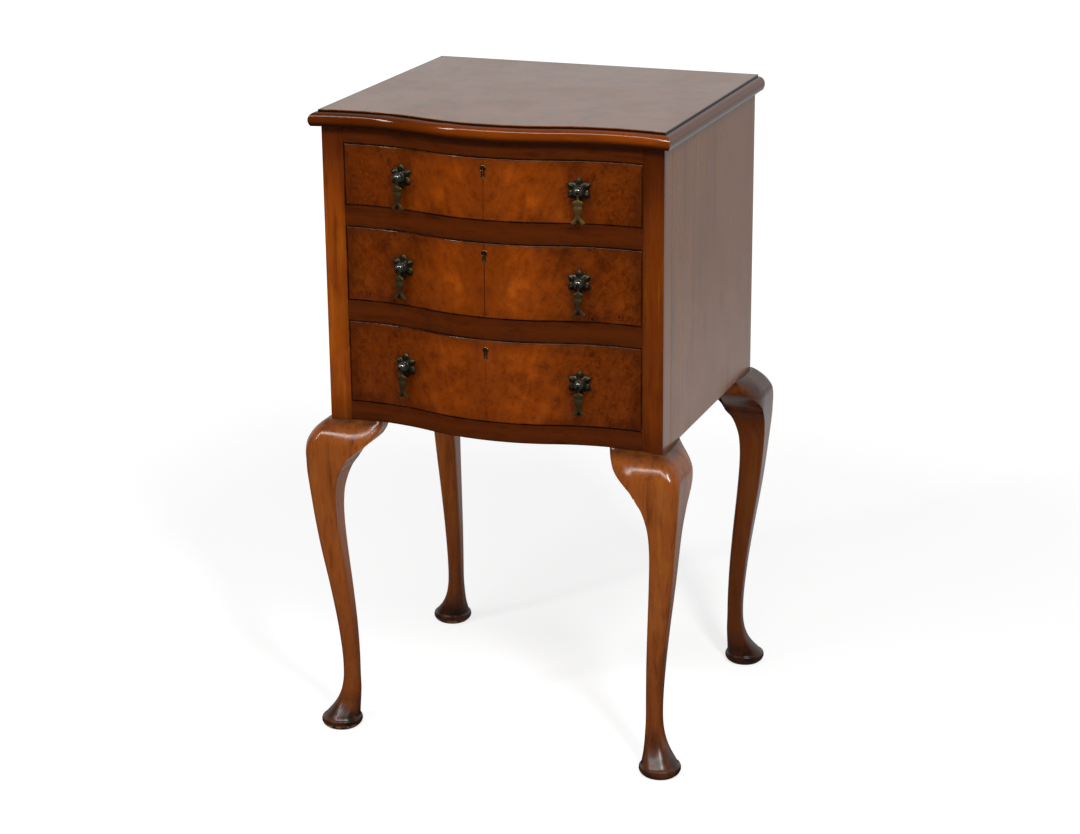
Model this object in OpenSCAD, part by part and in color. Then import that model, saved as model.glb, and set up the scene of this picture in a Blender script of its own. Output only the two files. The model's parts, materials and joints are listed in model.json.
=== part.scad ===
// Bedside chest of three drawers on cabriole legs, with a serpentine front.
// Millimetres. X runs across the front, -Y is the front, Z is up, and the feet stand on z = 0.

/* [Case] */
// Width of the case across its posts
case_w = 400; // [370:1:460]
// Depth of the case from its front corners to its back
case_d = 345; // [310:1:400]
// Height of the underside of the case above the floor
leg_h = 385; // [350:1:430]
// Height of the bottom drawer's opening
bottom_drawer_h = 95.5; // [84:0.5:120]
// Height of the middle drawer's opening
middle_drawer_h = 85.5; // [76:0.5:110]
// Height of the top drawer's opening
top_drawer_h = 70; // [66:0.5:100]
// Height of the rail under the bottom drawer
bottom_rail_h = 22; // [18:0.5:32]
// Height of the two rails between drawers
divider_h = 24.5; // [18:0.5:32]
// Height of the rail over the top drawer
top_rail_h = 19; // [16:0.5:30]
// Depth of the front rails, measured from the case's front corners
rail_d = 46; // [42:1:60]
// Width of a corner post across the front
post_w = 25; // [24:0.5:34]
// Depth of a corner post along the side
post_d = 28; // [26:0.5:40]
// Width of the rear post that shows on the side
rear_strip = 14; // [13:0.5:18]
// Thickness of the side panels
panel_t = 12; // [10:0.5:14]
// Thickness of the back panel
back_t = 5; // [3:0.5:6]
// Thickness of the board that closes the underside
bottom_board_t = 4; // [3:0.5:8]
// Length of the tenons on the front rails
tenon_l = 8; // [5:0.5:10]
// Length of the tongue on the front edge of a side panel
tongue_l = 6; // [4:0.5:8]

/* [Serpentine front] */
// Depth of the wave, from its hollows to its crest
wave = 22.6; // [10:0.2:28]
// Distance of the deepest line of each hollow from the side of the case
hollow_in = 50; // [35:1:60]

/* [Top] */
// Thickness of the top with its veneer
top_t = 18; // [16:0.5:24]
// Thickness of the veneer on the top and the drawer fronts
veneer_t = 1; // [0.6:0.1:1.5]
// Distance from the top's upper edge out to the case below it
top_lip = 1.7; // [0:0.1:3]
// Overhang of the edge moulding beyond the case
mould_out = 10; // [8:0.5:12]
// Height of the small upright fillet above the moulding's round
fillet_h = 2.6; // [1.5:0.1:4]
// Width of the moulding strip that lies over the case
mould_in = 14; // [10:0.5:20]
// Overhang of the top at the back
back_out = 6; // [2:0.5:12]

/* [Legs] */
// Reach of the knee beyond the case
knee_out = 25.5; // [22:0.5:30]
// Width of the square block at the head of a leg
leg_block = 25; // [24:0.5:25]
// Radius of the pad foot at its widest
pad_r = 24.2; // [21:0.2:27]
// Width of the ankle
ankle_w = 18.5; // [15:0.1:21]
// Projection of the leg's top edge beyond the case
knee_ledge = 3; // [1:0.5:4]
// Length of a knee block along the case, beyond the leg
ear_l = 37.5; // [30:0.5:44]
// Depth of a knee block from the face of the case
ear_t = 23; // [16:0.5:24]
// Height of the joint between a knee block and its leg
ear_h = 47; // [40:1:54]
// Radius of the dowel in the head of each leg
dowel_r = 4.5; // [3:0.5:4.5]
// Length of the dowel in the head of each leg
dowel_l = 42; // [30:1:50]

/* [Drawers] */
// Thickness of a drawer front at its thinnest
front_t = 20; // [18:0.5:24]
// Thickness of the drawer sides
side_t = 9; // [8:0.5:11]
// Thickness of the drawer backs
drawer_back_t = 8; // [6:0.5:12]
// Thickness of the drawer bottoms
drawer_bottom_t = 4; // [3:0.5:5]
// Height of the drawer bottom above the lower edge of its front
bottom_up = 8; // [7:0.5:10]
// Gap between a drawer front and the post beside it
side_gap = 0.7; // [0.4:0.1:1.2]
// Gap between a drawer and the rail over it
top_gap = 1.2; // [0.8:0.1:2]
// Gap between a drawer and the runners that carry it
run_gap = 0.3; // [0.2:0.05:0.5]
// Drop from the upper edge of a drawer front to its sides
side_drop = 4; // [2:0.5:8]
// Space behind a closed drawer
behind_drawer = 12; // [8:1:30]
// Width of the runners and kickers
runner_w = 33; // [30:1:40]
// Height of the guide strips beside the drawers
guide_h = 10; // [6:1:20]
// Height of the drawer stops
stop_h = 5; // [3:0.5:6]

/* [Handles and locks] */
// Distance of each handle from the middle of the front
handle_x = 104; // [90:1:125]
// Height of a handle's boss above the middle of the drawer opening
handle_up = 2.5; // [0:0.5:5]
// Radius of the rosette over its petals
rosette_r = 14.6; // [12:0.2:16]
// Radius of the domed boss
boss_r = 5.6; // [5.2:0.1:6.2]
// Length of the drop from the boss's middle to its tip
drop_l = 35.6; // [32:0.2:36]
// Thickness of the drop
drop_t = 4; // [3:0.2:4.6]
// Depth of the middle of a keyhole below the drawer opening's upper edge
key_down = 16; // [15:0.5:18]
// Width of the keyhole's lining
escutcheon_w = 7.5; // [6:0.5:9]
// Height of the keyhole's lining
escutcheon_h = 14; // [12:0.5:16]
// Width of the lock
lock_w = 44; // [36:1:56]
// Height of the lock below its top plate
lock_h = 28; // [26:1:34]
// Thickness of the lock
lock_t = 8; // [7.5:0.5:9]
// Width of the lock's bolt
bolt_w = 20; // [14:1:26]
// Travel of the lock's bolt
bolt_throw = 6; // [4:0.5:7]

/* [Hidden] */
$fn = 48;

// Colours
ground_wood = "#8a5a34";
burr_wood = "#8a4612";
rail_wood = "#55260c";
post_wood = "#7a3c08";
leg_wood = "#7a3d12";
drawer_lining = "#a87b4c";
old_bronze = "#1e1b14";
old_brass = "#8a7440";

// Working gaps
glue = 0.1;
e = 0.01;
big_fn = 360;

// The wave is three equal arcs that meet in one tangent: a crest in the middle and a hollow on each side.
half_wave = case_w / 2 - hollow_in;
wave_r = (half_wave * half_wave + wave * wave) / (4 * wave);
wave_turn = asin(half_wave / (2 * wave_r));
hollow_back = wave_r - sqrt(wave_r * wave_r - hollow_in * hollow_in);
crest_out = wave - hollow_back;

// The origin is on the floor, under the middle of the whole chest.
front_reach = max(crest_out + mould_out, knee_out);
all_d = front_reach + case_d + knee_out;
yf = front_reach - all_d / 2;
yb = yf + case_d;
hollow_y = yf + hollow_back;
crest_y = yf - crest_out;
crest_c = [0, crest_y + wave_r];
hollow_c = [half_wave, hollow_y - wave_r];
arc_steps = 12;
arc_step = wave_turn / arc_steps;
outer_steps = ceil(asin((hollow_in + 2 * mould_out) / (wave_r - 2 * mould_out)) / arc_step);

// Heights of the drawer openings, as [lower edge, upper edge]
bottom_span = [leg_h + bottom_rail_h, leg_h + bottom_rail_h + bottom_drawer_h];
middle_span = [bottom_span[1] + divider_h, bottom_span[1] + divider_h + middle_drawer_h];
top_span = [middle_span[1] + divider_h, middle_span[1] + divider_h + top_drawer_h];
spans = [top_span, middle_span, bottom_span];
case_top = top_span[1] + top_rail_h;
top_z = case_top + top_t;

// Widths across the case
open_w = case_w - 2 * post_w;
panel_x = case_w / 2 - panel_t;
front_w = open_w - 2 * side_gap;
inner_x = front_w / 2 - side_t;

// Tenons of the front rails
tenon_y = yf + 10;
tenon_t = 12;
tenon_shoulder = 3;

// Drawer grooves and joints
groove_d = 5;
tail_l = 13;
tails = 3;
land_y = hollow_c[1] + sqrt(pow(wave_r + front_t, 2) - pow(front_w / 2 - half_wave, 2));
drawer_end = yb - back_t - behind_drawer;
back_in = 12;
housing = 3;

// Locks
plate_t = 1.8;
plate_w = lock_w + 8;
plate_d = 10;
bolt_t = 4;
bolt_h = 20;
bolt_down = 0.5;
bolt_gap = 0.3;
lock_y = crest_y + front_t - lock_t;
bolt_y = lock_y + 2.2;

// Handles
petal_t = 1.4;
collar_t = 1.6;
shank_r = 2;
neck_r = 3;
boss_y = 8.6;
pin_r = 0.8;
pin_y = 9.2;
pin_z = 2.6;
pin_play = 0.06;
eye_r = 2.4;
eye_gap = 0.4;
tongue_t = 2.6;
petal_sag = rosette_r * rosette_r / (2 * wave_r) + 0.05;
nut_t = 3;
nut_r = 4;
washer_t = 0.8;

// Screws and dowels
screw_r = 1.8;
screw_head_r = 3.6;
screw_in = 10;
screw_x = 90;
front_dowel = [case_w / 2 - 11, yf + 12];
rear_dowel = [case_w / 2 - 10, yb - 8];

// Height of the front surface's y at x, and the angle its normal turns from -Y
function face_y(x) =
  let(a = abs(x))
  a < half_wave / 2
    ? crest_c[1] - sqrt(wave_r * wave_r - a * a)
    : hollow_c[1] + sqrt(wave_r * wave_r - pow(a - half_wave, 2));
function face_turn(x) =
  let(a = abs(x), s = x < 0 ? -1 : 1)
  s * (a < half_wave / 2 ? asin(a / wave_r) : asin((half_wave - a) / wave_r));

// Smooth curve through rows of knots: column c of the table k at the value z in column 0
function row_after(k, z, i = 1) = (i >= len(k) - 1 || z <= k[i][0]) ? i : row_after(k, z, i + 1);
function knot_slope(k, i, c) =
  let(lo = max(i - 1, 0), hi = min(i + 1, len(k) - 1))
  (k[hi][c] - k[lo][c]) / (k[hi][0] - k[lo][0]);
function curve(k, z, c) =
  let(i = row_after(k, z), a = k[i - 1], b = k[i], h = b[0] - a[0], t = (z - a[0]) / h)
  (2 * t * t * t - 3 * t * t + 1) * a[c]
  + (t * t * t - 2 * t * t + t) * h * knot_slope(k, i - 1, c)
  + (3 * t * t - 2 * t * t * t) * b[c]
  + (t * t * t - t * t) * h * knot_slope(k, i, c);
function ease(t) = let(s = min(max(t, 0), 1)) s * s * (3 - 2 * s);

// A leg's faces beyond the corner of the case: height, outer face, inner face,
// then the outer corner's and the other corners' radius as a share of the width.
pad_in = 0.6;
ankle_out = -1.4;
LEG = [
  [0, pad_r - 5 - pad_in, 5 - pad_r - pad_in, 0.49, 0.49],
  [3, pad_r - 1.6 - pad_in, 1.6 - pad_r - pad_in, 0.49, 0.49],
  [7, pad_r - pad_in, -pad_r - pad_in, 0.49, 0.49],
  [11, pad_r - 0.8 - pad_in, 0.8 - pad_r - pad_in, 0.49, 0.49],
  [12.5, pad_r - 3 - pad_in, 2.4 - pad_r - pad_in, 0.49, 0.49],
  [17, 16.8, -21.6, 0.48, 0.47],
  [24, 10.8, -20.8, 0.44, 0.42],
  [34, 4.8, -20.5, 0.4, 0.38],
  [46, 0.7, -20.4, 0.36, 0.36],
  [62, ankle_out, ankle_out - ankle_w, 0.34, 0.34],
  [90, -1.2, -19.6, 0.3, 0.3],
  [130, 2, -18.4, 0.29, 0.29],
  [175, 7.3, -15.8, 0.27, 0.27],
  [leg_h - 155, 14.8, -12, 0.25, 0.24],
  [leg_h - 120, 18.6, -10, 0.22, 0.18],
  [leg_h - 96, 20.9, -10.2, 0.21, 0.14],
  [leg_h - 80, 22.4, -12, 0.2, 0.1],
  [leg_h - ear_h - 14, knee_out - 1.4, -17.4, 0.18, 0.05],
  [leg_h - ear_h, knee_out - 0.6, -leg_block, 0.18, 0.01],
  [leg_h - 36, knee_out - 0.2, -leg_block, 0.2, 0.01],
  [leg_h - 24, knee_out - 0.8, -leg_block, 0.3, 0.01],
  [leg_h - 13, knee_out - 6.5, -leg_block, 0.34, 0.01],
  [leg_h - 4, knee_ledge + 6.5, -leg_block, 0.24, 0.01],
  [leg_h, knee_ledge, -leg_block, 0.1, 0.01]
];
function leg_out(z) = curve(LEG, z, 1);

// How far the front of the case lies behind its corner plane, a distance d in from the corner,
// and how much of that the carving follows at the height z
function face_back(d) = face_y(case_w / 2 - d) - yf;
function follow(z) = ease((z - leg_h + 60) / 60);

// One ring of a leg, as four rounded corners with five points each
corner_points = 5;
function leg_ring(z, front) =
  let(
    o = curve(LEG, z, 1),
    i = max(curve(LEG, z, 2), -leg_block),
    ro = curve(LEG, z, 3) * (o - i),
    ri = curve(LEG, z, 4) * (o - i),
    back = front ? face_back(leg_block) * follow(z) : 0,
    corners = [
      [o - ro, o - ro, ro, 0, 0],
      [i + ri, o - ri, ri, 90, back],
      [i + ri, i + ri, ri, 180, 0],
      [o - ri, i + ri, ri, 270, 0]
    ]
  )
  [for (c = corners) for (k = [0 : corner_points - 1])
    let(a = c[3] + 90 * k / (corner_points - 1))
    [c[0] + c[2] * cos(a), c[1] + c[2] * sin(a) - c[4], z]];
leg_levels = [
  for (i = [1 : len(LEG) - 1]) for (t = [0, 0.5]) LEG[i - 1][0] + t * (LEG[i][0] - LEG[i - 1][0]),
  leg_h
];

// The sawn end of a knee block: its reach beyond the leg, as a share of the block's length,
// at each depth below the case, as a share of the block's height. Its face rounds over towards that end.
EAR = [
  [0, 1],
  [0.11, 0.99],
  [0.22, 0.94],
  [0.33, 0.86],
  [0.43, 0.77],
  [0.54, 0.62],
  [0.65, 0.45],
  [0.76, 0.28],
  [0.87, 0.13],
  [1, 0.02]
];
ear_levels = [1, 0.93, 0.86, 0.79, 0.72, 0.65, 0.58, 0.51, 0.44, 0.37, 0.3, 0.24, 0.18, 0.12, 0.06, 0.02, 0];
ear_stations = 7;
ear_round = 0.6;
function ear_ring(level, front) =
  let(reach = curve(EAR, level, 1), z = leg_h - level * ear_h, end = leg_block + reach * ear_l)
  concat(
    [for (k = [0 : ear_stations - 1])
      let(t = reach * sin(90 * k / (ear_stations - 1)), d = leg_block + t * ear_l)
      [-d, leg_out(z) * pow(1 - t * t, ear_round) - (front ? face_back(d) * follow(z) : 0), z]],
    [[-end, -ear_t, z], [-leg_block, -ear_t, z]]
  );

// A closed solid through a list of rings that all have the same number of points
module loft(rings) {
  n = len(rings[0]);
  m = len(rings);
  sides = [for (j = [0 : m - 2]) for (i = [0 : n - 1]) for (t = [0, 1])
    let(a = j * n + i, b = j * n + (i + 1) % n)
    t == 0 ? [a, b + n, b] : [a, a + n, b + n]];
  ends = [[for (i = [0 : n - 1]) i], [for (i = [n - 1 : -1 : 0]) (m - 1) * n + i]];
  polyhedron(points = [for (r = rings) for (p = r) p], faces = concat(sides, ends));
}

// Places a child that is drawn for the rear right corner, with X and Y pointing out of the case
module at_corner(sx, sy) {
  translate([sx * case_w / 2, sy > 0 ? yb : yf, 0])
    mirror([sx < 0 ? 1 : 0, 0, 0])
      mirror([0, sy < 0 ? 1 : 0, 0])
        children();
}
module both_sides() {
  children();
  mirror([1, 0, 0]) children();
}
// Board from one corner to the opposite one
module board(lo, hi) {
  translate(lo) cube(hi - lo);
}
// Extrudes a drawing of X and Z along Y, from y0 back to y1
module upright(y0, y1) {
  translate([0, y1, 0]) rotate([90, 0, 0]) linear_extrude(y1 - y0) children();
}
module slab(z0, z1) {
  translate([0, 0, z0]) linear_extrude(z1 - z0) children();
}

// Front curve set back by the distance o, from left to right in equal steps of angle
function front_points(o) =
  let(
    crest = [for (i = [-arc_steps : arc_steps])
      let(t = i * arc_step) crest_c + (wave_r - o) * [sin(t), -cos(t)]],
    right = [for (i = [1 - arc_steps : outer_steps])
      let(t = i * arc_step) hollow_c + (wave_r + o) * [sin(t), cos(t)]],
    left = [for (i = [len(right) - 1 : -1 : 0]) [-right[i][0], right[i][1]]]
  )
  concat(left, crest, right);
// Everything behind that curve, and the strip between two such curves
module behind_front(o, half_w, y_end) {
  front = front_points(o);
  far_x = front[len(front) - 1][0];
  intersection() {
    polygon(concat(front, [[far_x, y_end + 1], [-far_x, y_end + 1]]));
    translate([-half_w, crest_y - wave]) square([2 * half_w, y_end - crest_y + wave]);
  }
}
module front_strip(o0, o1, half_w) {
  back = front_points(o1);
  intersection() {
    polygon(concat(front_points(o0), [for (i = [len(back) - 1 : -1 : 0]) back[i]]));
    translate([-half_w, crest_y - wave]) square([2 * half_w, 3 * wave + o1]);
  }
}

// Top
module top_panel() {
  color(ground_wood)
    difference() {
      slab(case_top, top_z - veneer_t)
        behind_front(mould_in + glue, case_w / 2 - mould_in, yb + back_out);
      screw_holes();
    }
}
module top_veneer() {
  color(burr_wood)
    slab(top_z - veneer_t, top_z)
      behind_front(-top_lip, case_w / 2 + top_lip, yb + back_out);
}
// Section of the edge moulding: X is the distance out from the case, Y the height
round_top = top_z - fillet_h;
round_h = 8;
round_in = top_lip + 0.9;
module moulding_section() {
  polygon(concat(
    [[-mould_in, case_top], [mould_out - 1.6, case_top], [mould_out - 0.5, case_top + 3.2]],
    [for (a = [0 : 15 : 75])
      [round_in + (mould_out - round_in) * cos(a), round_top - round_h + round_h * sin(a)]],
    [[round_in, round_top], [top_lip, round_top]],
    [[top_lip, top_z - veneer_t], [-mould_in, top_z - veneer_t]]
  ));
}
// The mitre runs through the points where the front and side mouldings share a width
function mitre_y(u) = hollow_c[1] + sqrt(pow(wave_r - u, 2) - pow(hollow_in + u, 2));
mitre_in = -mould_in - 6;
mitre_far = mould_out + 6;
module mitre_side() {
  far_x = case_w / 2 + 6 * mitre_far;
  polygon([
    [case_w / 2 + mitre_in, mitre_y(mitre_in)],
    [case_w / 2 + mitre_far, mitre_y(mitre_far)],
    [far_x, mitre_y(mitre_far)],
    [far_x, yb + back_out],
    [case_w / 2 + mitre_in, yb + back_out]
  ]);
}
module front_moulding() {
  end_turn = asin((hollow_in + mitre_far + 2) / (wave_r - mould_out - 6));
  color(post_wood)
    difference() {
      union() {
        translate([crest_c[0], crest_c[1], 0])
          rotate([0, 0, 270 - wave_turn])
            rotate_extrude(angle = 2 * wave_turn, $fn = big_fn)
              translate([wave_r, 0]) moulding_section();
        both_sides()
          translate([hollow_c[0], hollow_c[1], 0])
            rotate([0, 0, 90 - end_turn])
              rotate_extrude(angle = end_turn + wave_turn, $fn = big_fn)
                translate([wave_r, 0]) mirror([1, 0]) moulding_section();
      }
      both_sides() slab(case_top - 1, top_z + 1) mitre_side();
    }
}
module side_mouldings() {
  color(post_wood)
    both_sides()
      intersection() {
        translate([case_w / 2, 0, 0])
          translate([0, yb + back_out, 0])
            rotate([90, 0, 0])
              linear_extrude(case_d + 80) moulding_section();
        slab(case_top - 1, top_z + 1) mitre_side();
      }
}

// Case
module side_panel() {
  board([panel_x, yf + post_d, leg_h], [case_w / 2, yb - rear_strip, case_top]);
  board([panel_x + 3, yf + post_d - tongue_l, leg_h + 10], [case_w / 2 - 3, yf + post_d + e, case_top - 10]);
}
module side_panel_left() {
  color(post_wood) mirror([1, 0, 0]) side_panel();
}
module side_panel_right() {
  color(post_wood) side_panel();
}
module tenon(z0, z1, play) {
  both_sides()
    board(
      [open_w / 2 - e, tenon_y - play, z0 + tenon_shoulder - play],
      [open_w / 2 + tenon_l + play, tenon_y + tenon_t + play, z1 - tenon_shoulder + play]
    );
}
rail_spans = [
  [top_span[1], case_top],
  [middle_span[1], top_span[0]],
  [bottom_span[1], middle_span[0]],
  [leg_h, bottom_span[0]]
];
module front_posts() {
  color(post_wood)
    difference() {
      both_sides()
        slab(leg_h, case_top)
          intersection() {
            behind_front(0, case_w / 2, yf + post_d);
            translate([open_w / 2, yf - wave]) square([post_w, wave + post_d]);
          }
      for (r = rail_spans) tenon(r[0], r[1], glue);
      both_sides()
        board(
          [panel_x + 3 - glue, yf + post_d - tongue_l - glue, leg_h + 10 - glue],
          [case_w / 2 - 3 + glue, yf + post_d + 1, case_top - 10 + glue]
        );
      dowels(glue);
    }
}
back_rebate = 8;
module rear_posts() {
  color(rail_wood)
    difference() {
      both_sides() board([open_w / 2, yb - post_d, leg_h], [case_w / 2, yb, case_top]);
      both_sides()
        board([panel_x, yb - post_d - 1, leg_h - 1], [case_w / 2 + 1, yb - rear_strip, case_top + 1]);
      both_sides()
        board([open_w / 2 - 1, yb - back_t, leg_h - 1], [open_w / 2 + back_rebate, yb + 1, case_top + 1]);
      dowels(glue);
    }
}
module back_panel() {
  x = open_w / 2 + back_rebate;
  color(ground_wood) board([-x, yb - back_t, leg_h], [x, yb, case_top]);
}
module front_rail(z0, z1) {
  slab(z0, z1) behind_front(0, open_w / 2, yf + rail_d);
  tenon(z0, z1, 0);
}
// Socket in the underside of a rail, for the lock bolt below it
module bolt_socket(z) {
  board(
    [-bolt_w / 2 - 0.6, bolt_y - 0.6, z - 1],
    [bolt_w / 2 + 0.6, bolt_y + bolt_t + 0.6, z + bolt_throw + 2]
  );
}
module top_rail() {
  color(rail_wood)
    difference() {
      front_rail(top_span[1], case_top);
      bolt_socket(top_span[1]);
      screw_holes();
    }
}
module upper_divider_rail() {
  color(rail_wood)
    difference() {
      front_rail(middle_span[1], top_span[0]);
      bolt_socket(middle_span[1]);
    }
}
module lower_divider_rail() {
  color(rail_wood)
    difference() {
      front_rail(bottom_span[1], middle_span[0]);
      bolt_socket(bottom_span[1]);
    }
}
module bottom_rail() {
  color(rail_wood) front_rail(leg_h, bottom_span[0]);
}
module rear_rails() {
  color(ground_wood)
    difference() {
      union() {
        board([-open_w / 2, yb - post_d, top_span[1]], [open_w / 2, yb - back_t, case_top]);
        board([-open_w / 2, yb - post_d, leg_h], [open_w / 2, yb - back_t, bottom_span[0]]);
      }
      screw_holes();
    }
}
module runners() {
  color(ground_wood)
    for (r = [rail_spans[1], rail_spans[2], rail_spans[3]])
      both_sides() board([panel_x - runner_w, yf + rail_d, r[0]], [panel_x, yb - post_d, r[1]]);
}
module kickers() {
  color(ground_wood)
    difference() {
      both_sides() board([panel_x - runner_w, yf + rail_d, top_span[1]], [panel_x, yb - post_d, case_top]);
      screw_holes();
    }
}
module guides() {
  color(ground_wood)
    for (s = spans)
      both_sides() board([open_w / 2, yf + rail_d, s[0]], [panel_x, yb - post_d, s[0] + guide_h]);
}
stop_w = 20;
stop_l = 12;
stop_in = 5;
module drawer_stops() {
  x = inner_x - stop_in - stop_w / 2;
  off = max(0, abs(x - half_wave) - stop_w / 2);
  y = hollow_c[1] + sqrt(pow(wave_r + front_t, 2) - off * off) + run_gap;
  color(ground_wood)
    for (s = spans)
      both_sides() board([x - stop_w / 2, y, s[0]], [x + stop_w / 2, y + stop_l, s[0] + stop_h]);
}
module bottom_board() {
  x = panel_x - runner_w;
  color(ground_wood) board([-x, yf + rail_d, leg_h], [x, yb - post_d, leg_h + bottom_board_t]);
}

// Legs and their fixings
module leg(sx, sy) {
  color(leg_wood)
    difference() {
      at_corner(sx, sy) loft([for (z = leg_levels) leg_ring(z, sy < 0)]);
      dowels(glue);
    }
}
module leg_front_left() {
  leg(-1, -1);
}
module leg_front_right() {
  leg(1, -1);
}
module leg_rear_left() {
  leg(-1, 1);
}
module leg_rear_right() {
  leg(1, 1);
}
module knee_blocks(sy) {
  color(leg_wood)
    for (sx = [-1, 1]) {
      at_corner(sx, sy) loft([for (level = ear_levels) ear_ring(level, sy < 0)]);
      at_corner(sx, sy) mirror([1, -1, 0]) loft([for (level = ear_levels) ear_ring(level, false)]);
    }
}
module front_knee_blocks() {
  knee_blocks(-1);
}
module rear_knee_blocks() {
  knee_blocks(1);
}
module dowels(play) {
  for (d = [front_dowel, rear_dowel])
    both_sides()
      translate([d[0], d[1], leg_h - dowel_l / 2 - play])
        cylinder(r = dowel_r + play, h = dowel_l + 2 * play);
}
module leg_dowels() {
  color(drawer_lining) dowels(0);
}

// Screws that hold the top, through the front rail, the rear rail and the kickers
screw_places = [
  [screw_x, yf + 28],
  [screw_x, yb - post_d / 2 - 2],
  [panel_x - runner_w / 2, (yf + yb) / 2]
];
module screw(play) {
  r = screw_r + play;
  head = screw_head_r + play;
  both_sides()
    for (p = screw_places)
      translate([p[0], p[1], top_span[1]]) {
        cylinder(r1 = head, r2 = r, h = 2.4);
        cylinder(r = r, h = top_rail_h + screw_in + play);
      }
}
module screw_holes() {
  screw(0.05);
}
module top_screws() {
  color(old_brass) screw(0);
}

// Drawers: s is the drawer's opening, as [lower edge, upper edge]
function low(s) = s[0] + run_gap;
function high(s) = s[1] - top_gap;
function box_high(s) = high(s) - side_drop;
function key_z(s) = s[1] - key_down;
function handle_z(s) = (s[0] + s[1]) / 2 + handle_up;

// Tails of a drawer side, with the gap of the sockets around them
module drawer_tails(s, play) {
  pitch = (box_high(s) - low(s)) / tails;
  for (k = [0 : tails - 1])
    translate([inner_x - play, land_y + e, low(s) + pitch * (k + 0.5)])
      rotate([90, 0, 90])
        linear_extrude(side_t + 2 * play)
          polygon([
            [0, -pitch * 0.27 - play],
            [-tail_l - play, -pitch * 0.38 - play],
            [-tail_l - play, pitch * 0.38 + play],
            [0, pitch * 0.27 + play]
          ]);
}
module at_handle(s, x) {
  translate([x, face_y(x), handle_z(s)]) rotate([0, 0, face_turn(x)]) children();
}
module handle_bores(s, r) {
  for (x = [-handle_x, handle_x])
    at_handle(s, x) translate([0, -5, 0]) rotate([-90, 0, 0]) cylinder(r = r, h = front_t + 20);
}
// Outline of the keyhole's lining, and of the hole in it
module keyhole(w, h) {
  r = w / 2;
  translate([0, h / 2 - r]) circle(r);
  polygon([[-r * 0.5, h / 2 - r], [-r * 0.78, -h / 2], [r * 0.78, -h / 2], [r * 0.5, h / 2 - r]]);
}
lining_w = 0.9;
lining_d = 3;
module drawer_front(s) {
  color(ground_wood)
    difference() {
      slab(low(s), high(s)) front_strip(veneer_t, front_t, front_w / 2);
      slab(low(s) + bottom_up, low(s) + bottom_up + drawer_bottom_t + 0.2)
        front_strip(front_t - groove_d, front_t + 1, inner_x + e);
      both_sides() board([inner_x, land_y, low(s) - 1], [front_w / 2 + 1, land_y + 20, high(s) + 1]);
      both_sides() drawer_tails(s, glue);
      translate([0, 0, key_z(s)]) {
        upright(crest_y - 1, crest_y + lining_d + glue)
          keyhole(escutcheon_w + 2 * glue, escutcheon_h + 2 * glue);
        upright(crest_y - 1, crest_y + front_t)
          keyhole(escutcheon_w - 2 * lining_w, escutcheon_h - 2 * lining_w);
      }
      board(
        [-lock_w / 2 - glue, lock_y - glue, high(s) - plate_t - lock_h - glue],
        [lock_w / 2 + glue, crest_y + front_t + wave, high(s) + 1]
      );
      board(
        [-plate_w / 2 - glue, lock_y + lock_t - plate_d - glue, high(s) - plate_t],
        [plate_w / 2 + glue, crest_y + front_t + wave, high(s) + 1]
      );
      handle_bores(s, shank_r + glue);
    }
}
module drawer_veneer(s) {
  color(burr_wood)
    difference() {
      slab(low(s), high(s)) front_strip(0, veneer_t, front_w / 2);
      translate([0, 0, key_z(s)])
        upright(crest_y - 1, crest_y + lining_d) keyhole(escutcheon_w + 2 * glue, escutcheon_h + 2 * glue);
      handle_bores(s, shank_r + glue);
    }
}
module drawer_sides(s) {
  y_back = drawer_end - back_in - drawer_back_t;
  color(drawer_lining)
    both_sides()
      difference() {
        union() {
          board([inner_x, land_y, low(s)], [front_w / 2, drawer_end, box_high(s)]);
          drawer_tails(s, 0);
        }
        board(
          [inner_x - 1, land_y - tail_l - 1, low(s) + bottom_up],
          [inner_x + groove_d, drawer_end + 1, low(s) + bottom_up + drawer_bottom_t + 0.2]
        );
        board(
          [inner_x - 1, y_back, low(s) + bottom_up],
          [inner_x + housing, y_back + drawer_back_t, box_high(s) + 1]
        );
      }
}
module drawer_back(s) {
  y_back = drawer_end - back_in - drawer_back_t;
  x = inner_x + housing;
  color(drawer_lining)
    board(
      [-x, y_back, low(s) + bottom_up + drawer_bottom_t],
      [x, y_back + drawer_back_t, box_high(s) - 2]
    );
}
module drawer_bottom(s) {
  color(drawer_lining)
    slab(low(s) + bottom_up, low(s) + bottom_up + drawer_bottom_t)
      intersection() {
        behind_front(front_t - groove_d + glue, inner_x + groove_d - glue, drawer_end);
        union() {
          translate([-inner_x + glue, crest_y]) square([2 * (inner_x - glue), drawer_end - crest_y]);
          translate([-inner_x - groove_d + glue, land_y + glue])
            square([2 * (inner_x + groove_d - glue), drawer_end - land_y - glue]);
        }
      }
}
module drawer_lock(s) {
  color(old_brass)
    difference() {
      union() {
        board([-lock_w / 2, lock_y, high(s) - plate_t - lock_h], [lock_w / 2, lock_y + lock_t, high(s)]);
        board(
          [-plate_w / 2, lock_y + lock_t - plate_d, high(s) - plate_t],
          [plate_w / 2, lock_y + lock_t, high(s)]
        );
      }
      board(
        [-bolt_w / 2 - bolt_gap, bolt_y - bolt_gap, high(s) - bolt_down - bolt_h - bolt_gap],
        [bolt_w / 2 + bolt_gap, bolt_y + bolt_t + bolt_gap, high(s) + 1]
      );
      translate([0, 0, key_z(s)])
        upright(lock_y - 1, bolt_y) keyhole(escutcheon_w - 2 * lining_w, escutcheon_h - 2 * lining_w);
    }
}
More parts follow.
